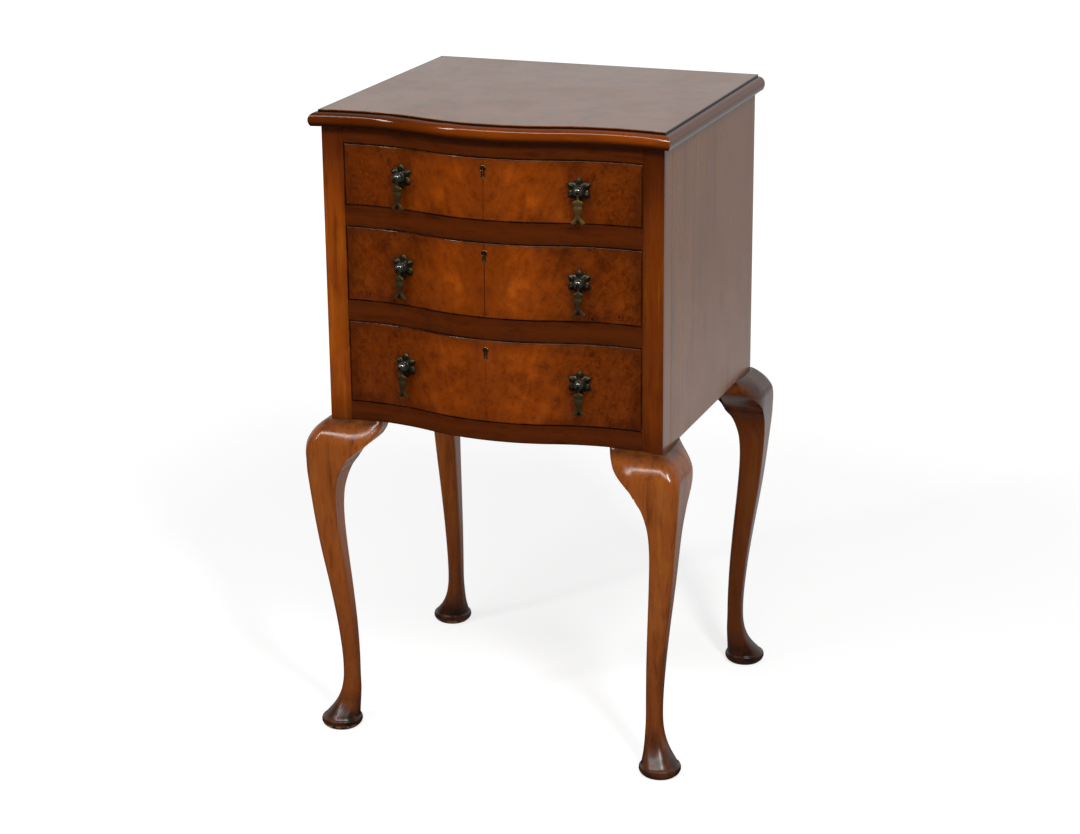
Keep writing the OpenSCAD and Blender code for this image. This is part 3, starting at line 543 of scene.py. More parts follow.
def edge_moulding(colours, name, along, darker=0.0):
    """Walnut moulding, scraped and polished hard: long narrow highlights; dark above with old wax and
    painted shade at the fillet, and below with painted shadow under the nose.
    """

    def aged(tree, place, tone):
        parts = axes(tree, place)
        shoulder = VENEER[1].z - bpy.context.scene.chest_sizes.fillet_h
        tone = tinted(tree, tone, parts["X"], 0.05, -0.16, 0.7, colours.rail_dark)
        tone = blended(tree, darker, tone, rgba(colours.rail_dark))
        # Dark line at the fillet: old wax and painted shade in the crease
        tone = tinted(tree, tone, parts["Z"], shoulder - 0.9 * MM, shoulder, 0.9, colours.wax_and_shade)
        # Painted shadow under the moulding's nose, at its foot on the case
        low, high = CASE_TOP + 1 * MM, CASE_TOP + 7 * MM
        return tinted(tree, tone, parts["Z"], high, low, 0.85, colours.wax_and_shade)

    middle = [0.45 * a + 0.55 * b for a, b in zip(colours.walnut_mid, colours.walnut_dark)]
    tones = (colours.walnut_mid, middle, colours.walnut_dark)
    return straight_wood(
        name, along, tones, 0.11, streak_mm=14.0, relief_mm=0.006, aged=aged, level=0.3
    )


def walnut_moulding(colours):
    """The front length of the moulding, with its figure along X."""
    return edge_moulding(colours, "walnut_scraped_polished_front", ACROSS)


def walnut_moulding_sides(colours):
    """The side lengths of the moulding, with their figure along Y."""
    return edge_moulding(colours, "walnut_scraped_polished_sides", TO_THE_BACK, darker=0.5)


def walnut_legs(colours):
    """Carved solid walnut: satin, dark with old wax in the feet and painted shade under the case,
    scuffed below.
    """
    material, tree = new_tree("walnut_carved_waxed")
    place = object_place(tree)
    tones = (colours.leg_light, colours.leg_mid, colours.leg_dark)
    tone, relief = straight_figure(tree, place, UPRIGHT, *tones, streak_mm=14.0)
    parts = axes(tree, place)
    # Painted shade darkens the rear right leg
    rear = between(tree, parts["Y"], 0.1, 0.13)
    rear_right_shade = times(tree, between(tree, parts["X"], 0.1, 0.13), rear)
    tone = blended(tree, times(tree, rear_right_shade, 0.6), tone, rgba(colours.rail_dark))
    height = parts["Z"]
    patchy = between(tree, clouds(tree, place, 18, 3), 0.3, 0.65, 0.6, 1.0)
    tone = tinted(tree, tone, height, 0.22, 0.06, 0.4, colours.leg_dark)
    foot = between(tree, height, 0.055, 0.012, 0.0, 0.95)
    # Darker under the case: painted shade, partly old wax; deeper on the rear right knee
    head = between(tree, height, LEG_H - 12 * MM, LEG_H - 1 * MM, 0.0, 0.75)
    rear_head_shade = between(tree, height, LEG_H - 0.085, LEG_H - 0.03, 0.0, 0.7)
    head = math_node(tree, "MAXIMUM", head, times(tree, rear_right_shade, rear_head_shade))
    waxed = times(tree, math_node(tree, "MAXIMUM", foot, head), patchy)
    tone = blended(tree, waxed, tone, rgba(colours.wax_and_shade))
    above_floor = between(tree, height, 1 * MM, 3 * MM)
    sole = times(tree, above_floor, between(tree, height, 7 * MM, 4.5 * MM))
    scuffed = between(tree, clouds(tree, place, 7, 3), 0.47, 0.6, 0.0, 0.6)
    scuffed = times(tree, scuffed, between(tree, parts["X"], 0.1, -0.1))
    tone = blended(tree, times(tree, sole, scuffed), tone, rgba(colours.pine))
    smear = clouds(tree, place, 30, 3)
    satin = between(tree, smear, 0.3, 0.7, 0.16, 0.24)
    satin = math_node(tree, "ADD", satin, between(tree, height, 0.06, 0.03, 0.0, 0.1))
    finish_wood(tree, tone, relief, 0.004, satin, level=0.45)
    return material


def bare_wood(name, along, tone_value, dark_share):
    """Unpolished wood, planed and aged: matt, with visible streaks."""
    material, tree = new_tree(name)
    place = object_place(tree)
    dark = [v * dark_share for v in tone_value]
    tone, relief = straight_figure(tree, place, along, tone_value, tone_value, dark, streak_mm=5.0)
    finish_wood(tree, tone, relief, 0.06, 0.62)
    return material


def carcase_pine(colours):
    """Aged pine inside the case: matt yellow-brown."""
    return bare_wood("pine_planed", TO_THE_BACK, list(colours.pine), 0.55)


def pine_across(colours):
    """The same pine in boards that lie across the case."""
    return bare_wood("pine_planed_across", ACROSS, list(colours.pine), 0.55)


def drawer_oak(colours):
    """Thin oak drawer linings: matt straw-brown with fine pores."""
    return bare_wood("oak_planed", TO_THE_BACK, list(colours.oak), 0.6)


def oak_across(colours):
    """The same oak in the drawers' backs."""
    return bare_wood("oak_planed_across", ACROSS, list(colours.oak), 0.6)


def back_plywood(colours):
    """Thin plywood back with upright figure: matt, a little greyer than the pine."""
    red, green, blue = colours.pine
    return bare_wood("plywood_bare", UPRIGHT, [0.75 * red, 0.62 * green, 0.6 * blue], 0.7)


def cast_bronze(colours, name, skin, bare, worn, rough, wax, handled=None):
    """Cast bronze with a dark skin, bare where it is raised, worn in patches, or handled the most."""
    material, tree = new_tree(name)
    place = object_place(tree)
    raised = add(tree, "ShaderNodeNewGeometry").outputs["Pointiness"]
    rubbed = between(tree, raised, 0.5, 0.57, 0.0, bare)
    patchy = between(tree, clouds(tree, place, 5, 3), 0.35, 0.65, worn**2, worn)
    share = math_node(tree, "MAXIMUM", rubbed, patchy)
    if handled:
        share = times(tree, share, handled(tree, place))
    tone = blended(tree, share, rgba(skin), rgba(colours.bronze))
    pits = clouds(tree, place, 1.6, 2)
    values = {
        "Metallic": 0.8, "Roughness": between(tree, patchy, 0.0, 1.0, rough, rough + 0.1),
        "Coat Weight": wax, "Coat Roughness": 0.2,
    }
    surface(tree, tone, pits, 0.03, values)
    return material


def aged_bronze(colours):
    """The rosettes: dull greenish glints on near-black."""
    return cast_bronze(
        colours, "bronze_cast_patinated", colours.patina, bare=0.35, worn=0.2, rough=0.4, wax=0.08
    )


def boss_bronze(colours):
    """The bosses, rubbed smooth by fingers but still dark: small bright highlights."""
    return cast_bronze(
        colours, "bronze_turned_dark", colours.boss_metal, bare=0.0, worn=0.0, rough=0.13, wax=0.0
    )


def drop_bronze(colours):
    """The drops: dark and dull, with olive-brown bare metal on the one at the top right."""

    def handled(tree, place):
        parts = axes(tree, place)
        right = between(tree, parts["X"], -0.05, 0.1)
        high = between(tree, parts["Z"], 0.56, 0.66)
        return math_node(tree, "ADD", 0.45, times(tree, times(tree, right, high), 0.5))

    return cast_bronze(
        colours, "bronze_cast_worn", colours.patina, bare=0.9, worn=0.9, rough=0.4, wax=0.05,
        handled=handled,
    )


def plain_metal(name, tone_value, roughness, grain_mm, aged=None):
    """Metal with a fine worn grain. What ages it may darken parts of it."""
    material, tree = new_tree(name)
    place = object_place(tree)
    stain = clouds(tree, place, 6, 4)
    tone = blended(
        tree, between(tree, stain, 0.45, 0.75, 0.0, 0.6),
        rgba(tone_value), rgba([v * 0.35 for v in tone_value]),
    )
    if aged:
        tone = aged(tree, place, tone)
    grain = clouds(tree, place, grain_mm, 2)
    dulled = between(tree, stain, 0.3, 0.7, roughness - 0.06, roughness + 0.1)
    surface(tree, tone, grain, 0.02, {"Metallic": 1.0, "Roughness": dulled})
    return material


def brass(colours):
    """Old drawn brass, handled but not polished: soft yellow-brown glints."""
    return plain_metal("brass_drawn_aged", list(colours.brass), 0.36, 0.8)


def keyhole_brass(colours):
    """The keyhole linings: brass rubbed bright on the lip, black inside with old polish and painted
    shade.
    """

    def aged(tree, place, tone):
        low, high = CREST_Y + 0.25 * MM, CREST_Y + 0.7 * MM
        # Black inside the hole: painted shade of the recess, partly old polish
        return tinted(tree, tone, axes(tree, place)["Y"], low, high, 1.0, colours.wax_and_shade)

    return plain_metal("brass_drawn_rubbed", list(colours.brass), 0.3, 0.8, aged)


def steel_screws(colours):
    """Steel wood screws, dulled: plain grey metal with darker stains."""
    return plain_metal("steel_turned_dull", list(colours.steel), 0.42, 0.6)


FINISHES = {
    maker.__name__: maker
    for maker in (
        walnut_top, walnut_moulding, walnut_moulding_sides, walnut_sides, walnut_posts, walnut_rails,
        walnut_legs, carcase_pine, pine_across, back_plywood, drawer_oak, oak_across, aged_bronze,
        boss_bronze, drop_bronze, brass, keyhole_brass, steel_screws,
    )
}
MADE = {}


def finish(slot, body):
    """The material for a finish, made when it is first asked for. Each drawer has its own burr."""
    key = (slot, body if slot == "burr_walnut" else "")
    if key not in MADE:
        colours = bpy.context.scene.chest_colours
        MADE[key] = burr_walnut(colours, body) if key[1] else FINISHES[slot](colours)
    return MADE[key]


# Shapes


class Serpentine:
    """The front's curve: a crest in the middle and a hollow on each side, three arcs in one tangent."""

    def __init__(self, sizes):
        self.half_wave = CASE_HALF - sizes.hollow_in
        self.radius = (self.half_wave**2 + sizes.wave**2) / (4 * sizes.wave)
        self.turn = math.asin(self.half_wave / (2 * self.radius))
        hollow_back = self.radius - math.sqrt(self.radius**2 - sizes.hollow_in**2)
        self.crest_y = CREST_Y + self.radius
        self.hollow_y = YF + hollow_back - self.radius

    def y(self, x, out=0.0):
        """The curve's y at x, moved out from the case by a distance."""
        a = abs(x)
        if a < (self.radius + out) * math.sin(self.turn):
            return self.crest_y - math.sqrt((self.radius + out) ** 2 - a**2)
        return self.hollow_y + math.sqrt((self.radius - out) ** 2 - (a - self.half_wave) ** 2)

    def angle(self, x):
        """The angle that the outward normal turns from -Y at x."""
        a = abs(x)
        if a < self.half_wave / 2:
            return math.copysign(math.asin(a / self.radius), x)
        return math.copysign(math.asin((self.half_wave - a) / self.radius), x)

    def line(self, out, half_w, steps=40):
        """Points from left to right along the curve, moved out by a distance, ending at half_w."""
        end = math.asin((half_w - self.half_wave) / (self.radius - out))
        right = []
        for k in range(1, steps + 1):
            a = -self.turn + (end + self.turn) * k / steps
            reach = self.radius - out
            right.append((self.half_wave + reach * math.sin(a), self.hollow_y + reach * math.cos(a)))
        crest = []
        for k in range(2 * steps + 1):
            a = self.turn * (k / steps - 1)
            reach = self.radius + out
            crest.append((reach * math.sin(a), self.crest_y - reach * math.cos(a)))
        left = [(-x, y) for x, y in reversed(right)]
        return left + crest + right


def curve(rows, at, column):
    """Smooth curve through rows of knots: a column of the table at a value of column 0."""
    i = 1
    while i < len(rows) - 1 and at > rows[i][0]:
        i += 1

    def slope(k):
        low, high = max(k - 1, 0), min(k + 1, len(rows) - 1)
        return (rows[high][column] - rows[low][column]) / (rows[high][0] - rows[low][0])

    a, b = rows[i - 1], rows[i]
    h = b[0] - a[0]
    t = (at - a[0]) / h
    return (
        (2 * t**3 - 3 * t**2 + 1) * a[column] + (t**3 - 2 * t**2 + t) * h * slope(i - 1)
        + (3 * t**2 - 2 * t**3) * b[column] + (t**3 - t**2) * h * slope(i)
    )


def ease(t):
    t = min(max(t, 0.0), 1.0)
    return t * t * (3 - 2 * t)


def loft(mesh, rings, capped=True):
    """Joins rings of equally many points by faces, and closes the ends or joins them up."""
    made = [[mesh.verts.new(p) for p in ring] for ring in rings]
    pairs = list(zip(made, made[1:]))
    if not capped:
        pairs.append((made[-1], made[0]))
    for first, second in pairs:
        count = len(first)
        for i in range(count):
            j = (i + 1) % count
            mesh.faces.new((first[i], first[j], second[j], second[i]))
    if capped:
        mesh.faces.new(made[0][::-1])
        mesh.faces.new(made[-1])


def box(mesh, low, high, edge):
    """A block with eased edges."""
    made = bmesh.ops.create_cube(mesh, size=1.0)["verts"]
    low, high = Vector(low), Vector(high)
    for v in made:
        v.co = (low + high) / 2 + Vector(a * b for a, b in zip(v.co, high - low))
    edges = list({e for v in made for e in v.link_edges})
    bmesh.ops.bevel(mesh, geom=edges, offset=edge, segments=2, affect="EDGES", profile=0.5)


def lathe(mesh, profile, turns, matrix):
    """Turns a profile of (radius, height) round the local Z axis."""
    rings = []
    for radius, height in profile:
        ring = []
        for k in range(turns):
            a = 2 * math.pi * k / turns
            ring.append(matrix @ Vector((radius * math.cos(a), radius * math.sin(a), height)))
        rings.append(ring)
    loft(mesh, rings)


def rounded(points, radii, steps):
    """An outline with each corner rounded to its radius. A radius of 0 leaves the corner."""
    made = []
    count = len(points)
    for i, (point, radius) in enumerate(zip(points, radii)):
        if radius == 0:
            made.append(tuple(point))
            continue
        here = Vector(point)
        back = (Vector(points[i - 1]) - here).normalized()
        ahead = (Vector(points[(i + 1) % count]) - here).normalized()
        half = math.acos(max(-1.0, min(1.0, back.dot(ahead)))) / 2
        centre = here + (back + ahead).normalized() * radius / math.sin(half)
        start = here + back * radius / math.tan(half) - centre
        end = here + ahead * radius / math.tan(half) - centre
        for k in range(steps + 1):
            made.append(tuple(centre + start.slerp(end, k / steps).normalized() * radius))
    return made


SAME_POINT = 1e-7


def piece(name, mesh, finish_name, body, replaces=(), sharp=40.0):
    """Makes an object of a mesh, gives it its finish, and lets it ride on its body."""
    bmesh.ops.remove_doubles(mesh, verts=mesh.verts, dist=SAME_POINT)
    bmesh.ops.recalc_face_normals(mesh, faces=mesh.faces)
    data = bpy.data.meshes.new(name)
    mesh.to_mesh(data)
    mesh.free()
    made = bpy.data.objects.new(name, data)
    bpy.context.scene.collection.objects.link(made)
    dress(made, sharp)
    data.materials.append(finish(finish_name, body))
    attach(made, body)
    if replaces:
        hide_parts(*replaces)
    return made


def dress(made, sharp):
    """Smooth shading with sharp edges kept, weighted so that flat faces look flat."""
    for face in made.data.polygons:
        face.use_smooth = True
    made.data.set_sharp_from_angle(angle=math.radians(sharp))
    weighted = made.modifiers.new("flat_faces", "WEIGHTED_NORMAL")
    weighted.keep_sharp = True
    weighted.weight = 60


def cut(made, cutter, sharp):
    """Cuts a piece by a bmesh solid, and keeps the result as its mesh."""
    bmesh.ops.recalc_face_normals(cutter, faces=cutter.faces)
    data = bpy.data.meshes.new("cutter")
    cutter.to_mesh(data)
    cutter.free()
    tool = bpy.data.objects.new("cutter", data)
    bpy.context.scene.collection.objects.link(tool)
    made.modifiers.clear()
    modifier = made.modifiers.new("cut", "BOOLEAN")
    modifier.object = tool
    modifier.operation = "DIFFERENCE"
    modifier.solver = "EXACT"
    depsgraph = bpy.context.evaluated_depsgraph_get()
    solid = bpy.data.meshes.new_from_object(made.evaluated_get(depsgraph))
    made.modifiers.clear()
    old = made.data
    made.data = solid
    solid.name = made.name
    bpy.data.meshes.remove(old)
    bpy.data.objects.remove(tool)
    bpy.data.meshes.remove(data)
    dress(made, sharp)


def swept_board(mesh, front, half_w, out_back, low, high, edge):
    """A board that follows the front's curve, with its front and end edges rounded."""
    turns = 4

    def section(inset):
        radius = edge - inset
        made = [(out_back, low + inset)]
        for corner, z in ((-1, low + edge), (1, high - edge)):
            for k in range(turns + 1):
                a = math.pi / 2 * (k / turns)
                along = math.sin(a) if corner < 0 else math.cos(a)
                upright = -math.cos(a) if corner < 0 else math.sin(a)
                made.append((radius * along - edge, z + radius * upright))
        made.append((out_back, high - inset))
        return made

    lines = [front.line(out, half_w - edge) for out, z in section(0.0)]
    heights = [z for out, z in section(0.0)]
    rings = []
    for i in range(len(lines[0])):
        rings.append([(line[i][0], line[i][1], z) for line, z in zip(lines, heights)])
    right = []
    for k in range(1, turns + 1):
        a = math.pi / 2 * k / turns
        x = half_w - edge + edge * math.sin(a)
        inset = edge * (1 - math.cos(a))
        right.append([(x, front.y(x, out), z) for out, z in section(inset)])
    left = [[(-x, y, z) for x, y, z in ring] for ring in reversed(right)]
    loft(mesh, left + rings + right)


def moulding_section(sizes):
    """The edge moulding's section as (distance out from the case, height): fillet over round nose."""
    veneer_low = VENEER[0].z
    shoulder = VENEER[1].z - sizes.fillet_h
    widest = shoulder - sizes.nose_h
    inner = TOP_LIP + 0.9 * MM
    undercut = 2.2 * MM
    under_steps = 9
    over_steps = 14
    made = [(-sizes.mould_in, CASE_TOP)]
    for k in range(under_steps):
        t = 1 - k / under_steps
        made.append((MOULD_OUT - undercut * t**2.2, widest - t * (widest - CASE_TOP)))
    for k in range(over_steps + 1):
        a = math.pi / 2 * k / over_steps
        made.append((inner + (MOULD_OUT - inner) * math.cos(a), widest + sizes.nose_h * math.sin(a)))
    made += [(TOP_LIP, shoulder), (TOP_LIP, veneer_low), (-sizes.mould_in, veneer_low)]
    return made


# Legs, worked in millimetres from the corner of the case, with the rear right corner's signs


def leg_rows(sizes):
    """A leg's faces beyond the corner at each height: outer, inner, and the corners' roundness."""
    head = LEG_H / MM
    pad = sizes.pad_r / MM
    ankle = sizes.ankle_w / MM
    knee = sizes.knee_out / MM
    block = sizes.leg_block / MM
    ledge = sizes.knee_ledge / MM
    joint = sizes.ear_h / MM
    lean = 0.6
    neck = -1.4
    return [
        [0, pad - 5 - lean, 5 - pad - lean, 0.49, 0.49],
        [3, pad - 1.6 - lean, 1.6 - pad - lean, 0.49, 0.49],
        [7, pad - lean, -pad - lean, 0.49, 0.49],
        [11, pad - 0.8 - lean, 0.8 - pad - lean, 0.49, 0.49],
        [12.5, pad - 3 - lean, 2.4 - pad - lean, 0.49, 0.49],
        [17, 16.8, -21.6, 0.48, 0.47],
        [24, 10.8, -20.8, 0.44, 0.42],
        [34, 4.8, -20.5, 0.4, 0.38],
        [46, 0.7, -20.4, 0.36, 0.36],
        [62, neck, neck - ankle, 0.34, 0.34],
        [90, -1.2, -19.6, 0.3, 0.3],
        [130, 2, -18.4, 0.29, 0.29],
        [175, 7.3, -15.8, 0.27, 0.27],
        [head - 155, 14.8, -12, 0.25, 0.24],
        [head - 120, 18.6, -10, 0.22, 0.18],
        [head - 96, 20.9, -10.2, 0.21, 0.14],
        [head - 80, 22.4, -12, 0.2, 0.1],
        [head - joint - 14, knee - 1.4, -17.4, 0.18, 0.05],
        [head - joint, knee - 0.6, -block, 0.18, 0.01],
        [head - 36, knee - 0.2, -block, 0.2, 0.01],
        [head - 24, knee - 0.8, -block, 0.3, 0.01],
        [head - 13, knee - 6.5, -block, 0.34, 0.01],
        [head - 4, ledge + 6.5, -block, 0.24, 0.01],
        [head, ledge, -block, 0.1, 0.01],
    ]


# Reach of a knee block beyond the leg, as a share of its length, at each share of its height down
EAR_ROWS = [
    [0, 1], [0.11, 0.99], [0.22, 0.94], [0.33, 0.86], [0.43, 0.77],
    [0.54, 0.62], [0.65, 0.45], [0.76, 0.28], [0.87, 0.13], [1, 0.02],
]
EAR_ROUND = 0.6


def follow(z):
    """How much of the case's hollow the carving follows at a height in millimetres."""
    reach = 60
    return ease((z - LEG_H / MM + reach) / reach)


def at_corner(point, sx, sy):
    """A point drawn in millimetres for the rear right corner, placed at the corner sx, sy in metres."""
    x, y, z = point
    return (sx * (CASE_HALF + x * MM), YB + y * MM if sy > 0 else YF - y * MM, z * MM)


def hollow_behind(front, inward):
    """How far in millimetres the case's front lies behind its corner, a distance in from the side."""
    return (front.y(CASE_HALF - inward * MM) - YF) / MM


CORNER_STEPS = 8
FACE_STEPS = 4


def leg_ring(front, rows, block, z, is_front):
    """One ring of a leg: four rounded corners joined by straight stretches with a few points each."""
    outer = curve(rows, z, 1)
    inner = max(curve(rows, z, 2), -block)
    outer_r = curve(rows, z, 3) * (outer - inner)
    inner_r = curve(rows, z, 4) * (outer - inner)
    back = hollow_behind(front, block) * follow(z) if is_front else 0.0
    corners = (
        (outer - outer_r, outer - outer_r, outer_r, 0, 0.0),
        (inner + inner_r, outer - inner_r, inner_r, 90, back),
        (inner + inner_r, inner + inner_r, inner_r, 180, 0.0),
        (outer - inner_r, inner + inner_r, inner_r, 270, 0.0),
    )
    arcs = []
    for x, y, radius, turn, behind in corners:
        arc = []
        for k in range(CORNER_STEPS + 1):
            a = math.radians(turn + 90 * k / CORNER_STEPS)
            arc.append((x + radius * math.cos(a), y + radius * math.sin(a) - behind, z))
        arcs.append(arc)
    ring = []
    for i, arc in enumerate(arcs):
        ring += arc
        start, end = Vector(arc[-1]), Vector(arcs[(i + 1) % len(arcs)][0])
        ring += [tuple(start.lerp(end, k / FACE_STEPS)) for k in range(1, FACE_STEPS)]
    return ring


def leg(mesh, front, sizes, sx, sy):
    """One leg, lofted through rings that are spaced evenly between the table's heights."""
    rows = leg_rows(sizes)
    block = sizes.leg_block / MM
    spacing = 2.2
    heights = []
    for low, high in zip(rows, rows[1:]):
        count = max(3, round((high[0] - low[0]) / spacing))
        heights += [low[0] + (high[0] - low[0]) * k / count for k in range(count)]
    heights.append(rows[-1][0])
    rings = [leg_ring(front, rows, block, z, sy < 0) for z in heights]
    loft(mesh, [[at_corner(p, sx, sy) for p in ring] for ring in rings])


def knee_block(mesh, front, sizes, sx, sy, on_side):
    """One carved block beside a leg's knee, rounding over to its sawn end."""
    rows = leg_rows(sizes)
    head = LEG_H / MM
    block, ear_l, ear_t, ear_h = (
        v / MM for v in (sizes.leg_block, sizes.ear_l, sizes.ear_t, sizes.ear_h)
    )
    stations = 22
    levels = 34
    groove = 0.25
    is_front = sy < 0 and not on_side
    rings = []
    for i in range(levels + 1):
        level = 1 - ease(i / levels) * 0.5 - 0.5 * i / levels
        reach = curve(EAR_ROWS, level, 1)
        z = head - level * ear_h
        ring = []
        for k in range(stations + 1):
            t = reach * math.sin(math.pi / 2 * k / stations)
            inward = block + t * ear_l
            out = curve(rows, z, 1) * (1 - t * t) ** EAR_ROUND - (groove if k == 0 else 0)
            back = hollow_behind(front, inward) * follow(z) if is_front else 0.0
            ring.append((-inward, out - back, z))
        end = block + reach * ear_l
        ring += [(-end, -ear_t, z), (-block, -ear_t, z)]
        if on_side:
            ring = [(y, x, z) for x, y, z in ring]
        rings.append([at_corner(p, sx, sy) for p in ring])
    loft(mesh, rings)


# Handles, worked in millimetres on the front's tangent plane, with -Y pointing out of the drawer

PIN_Y = 9.2
PIN_Z = 2.6
PETALS = 6
FRONT_T = 20.0
OUTWARD = Matrix.Rotation(math.pi / 2, 4, "X")
INWARD = Matrix.Rotation(-math.pi / 2, 4, "X")
SIDEWAYS = Matrix.Rotation(math.pi / 2, 4, "Y")


def handle_place(drawer, side):
    """The frame of a handle: its origin lies on the front's surface, behind the boss."""
    pin = next(j for j in frame["joints"] if j["name"] == f"{drawer}_drop_{side}_hinge")
    axis = Vector(pin["axis"])
    turn = math.atan2(axis.y, axis.x)
    if abs(turn) > math.pi / 2:
        turn -= math.copysign(math.pi, turn)
    turned = Matrix.Rotation(turn, 4, "Z")
    origin = Vector(pin["pos_m"]) - turned @ Vector((0, -PIN_Y * MM, -PIN_Z * MM))
    return Matrix.Translation(origin) @ turned @ Matrix.Scale(MM, 4)


def off_petal(a):
    """How far an angle lies from the middle of its petal: 0 on the rib, 1 in the notch."""
    return abs((a * PETALS / (2 * math.pi) + 0.5) % 1 - 0.5) * 2


def rosette(mesh, place, radius):
    """A cast rosette of pointed petals, each with a raised rib and hollow flanks."""
    behind = 0.5
    plate = 0.5
    notch = 0.34
    hub_r = 7.8
    centre = 0.02
    turns = 144
    fractions = [centre, 0.2, 0.34, 0.46, 0.56, 0.66, 0.75, 0.83, 0.9, 0.95, 0.985, 1.0]

    def edge(a):
        return radius * (1 - notch * off_petal(a) ** 1.1)

    def height(a, f):
        off = off_petal(a)
        rib = 0.6 * math.exp(-(off / 0.18) ** 2) * math.sin(math.pi * min(1.0, f))
        swell = 1.2 * math.sin(math.pi * min(1.0, max(0.0, (f - 0.4) / 0.58))) ** 0.8 * (1 - off**2)
        rim = 0.9 * math.sqrt(max(0.0, 1 - f**6))
        hub = 2.0 * math.sqrt(max(0.0, 1 - (f * edge(a) / hub_r) ** 2))
        return plate + max(rim + swell + rib, rim + hub)

    def ring(f, raised):
        made = []
        for k in range(turns):
            a = 2 * math.pi * k / turns
            r = edge(a) * f
            out = -behind - height(a, f) if raised else -behind
            made.append(place @ Vector((r * math.sin(a), out, r * math.cos(a))))
        return made

    loft(mesh, [ring(f, True) for f in fractions] + [ring(f, False) for f in (1.0, centre)])


# A handle's turned pieces as (radius, height): the washer, nut and shank are inside the drawer
BOSS_NECK = [(4.6, 1.0), (4.6, 2.2), (5.4, 2.7), (5.4, 3.3), (3.9, 3.9)]
PIN = [(0.4, -4.3), (0.8, -4.0), (0.8, 4.0), (0.4, 4.3)]
WASHER = [(2.2, 0.05), (5.3, 0.05), (5.5, 0.25), (5.5, 0.6), (5.3, 0.85), (2.2, 0.85)]
NUT = [(2.1, 0.85), (3.8, 0.85), (4.0, 1.1), (4.0, 3.5), (3.6, 3.85), (2.1, 3.85)]
SHANK = [(1.9, -14.0), (1.9, 5.2), (1.5, 5.8), (0.5, 5.9)]
BOSS_MIDDLE = 8.6

# Slot in the boss that the drop's eye hangs in: half its width, its back behind the pin, its top
SLOT_HALF = 1.6
SLOT_BACK = 2.8
SLOT_TOP = 0.2


def boss_profile(radius):
    """The boss's neck, collar and dome, as (radius, distance out)."""
    steps = 16
    made = list(BOSS_NECK)
    start = math.asin((BOSS_NECK[-1][1] - BOSS_MIDDLE) / radius)
    for k in range(steps + 1):
        a = start + (math.pi / 2 - start) * k / steps
        made.append((max(radius * math.cos(a), 0.02), BOSS_MIDDLE + radius * math.sin(a)))
    return made


def boss_slot(place):
    """The solid that cuts the slot, open to the front and below."""
    ahead = 12
    below = 20
    edge = 0.2
    low = (-SLOT_HALF, -PIN_Y - ahead, -below)
    high = (SLOT_HALF, SLOT_BACK - PIN_Y, SLOT_TOP)
    slot = bmesh.new()
    box(slot, low, high, edge)
    slot.transform(place)
    return slot


def on_pin(place):
    """A handle's frame moved to its pin, with Z along the pin."""
    return place @ Matrix.Translation((0, -PIN_Y, -PIN_Z)) @ SIDEWAYS


def handle_mount(mesh, sizes, drawer, side):
    """A rosette and its pin, and the washer, six-sided nut and threaded shank inside the drawer."""
    place = handle_place(drawer, side)
    rosette(mesh, place, sizes.rosette_r / MM)
    lathe(mesh, PIN, 20, on_pin(place))
    inside = place @ Matrix.Translation((0, FRONT_T, 0)) @ INWARD
    for profile, turns in ((WASHER, 40), (NUT, 6), (SHANK, 24)):
        lathe(mesh, profile, turns, inside)


# The drop's half width and half thickness at each distance below the boss's middle
DROP_ROWS = [
    [4.6, 1.25, 1.5], [8.6, 1.3, 1.7], [9.8, 2.8, 1.9], [10.7, 5.2, 2.0], [12.4, 6.0, 2.0],
    [14.2, 5.3, 1.8], [15.6, 4.6, 1.5], [17.0, 4.8, 1.7], [19.4, 5.0, 2.0], [22.6, 4.1, 1.8],
    [26.0, 2.7, 1.4], [28.4, 3.4, 1.3], [30.6, 5.6, 1.2], [32.6, 8.0, 1.1],
]

# The thickness that these rows are drawn for, and where the tail and the front's vein begin
DROP_ROWS_T = 4
TAIL_FROM = 25
VEIN_FROM = 12


def drop(mesh, place, thickness):
    """The hanging drop: a stem, a collar, a leaf-shaped body and a fishtail with a scalloped end."""
    across = 17
    levels = 52
    first, last = DROP_ROWS[0][0], DROP_ROWS[-1][0]
    rings = []
    for i in range(levels + 1):
        down = first + (last - first) * i / levels
        half_w = curve(DROP_ROWS, down, 1)
        half_t = curve(DROP_ROWS, down, 2) * (thickness / DROP_ROWS_T)
        tail = ease((down - TAIL_FROM) / (last - TAIL_FROM))
        front_row, back_row = [], []
        for k in range(across):
            u = -math.cos(math.pi * k / (across - 1))
            bulge = half_t * math.sqrt(max(0.0, 1 - 0.92 * u**4))
            vein = 0.35 * math.exp(-(u / 0.18) ** 2) * ease((down - VEIN_FROM) / 3) * (1 - tail)
            notch = 2.9 * math.cos(2.4 * math.pi * u) * (1 - abs(u))
            points = 3.4 * math.exp(-(((abs(u) - 0.72) / 0.3) ** 2))
            z = -down + tail * (notch - points)
            front_row.append((half_w * u, -PIN_Y - bulge - vein, z))
            back_row.append((half_w * u, -PIN_Y + bulge, z))
        rings.append([place @ Vector(p) for p in front_row + back_row[::-1]])
    loft(mesh, rings)


def drop_eye(mesh, place):
    """The ring at the top of a drop that turns on the pin."""
    inner, outer, half = 0.9, 2.4, 1.3
    corners = [(inner, -half), (outer, -half), (outer, half), (inner, half)]
    section = rounded(corners, [0.15, 0.5, 0.5, 0.15], 4)
    turns = 32
    rings = []
    for k in range(turns):
        a = 2 * math.pi * k / turns
        ring = [(r * math.cos(a), r * math.sin(a), z) for r, z in section]
        rings.append([on_pin(place) @ Vector(p) for p in ring])
    loft(mesh, rings, capped=False)


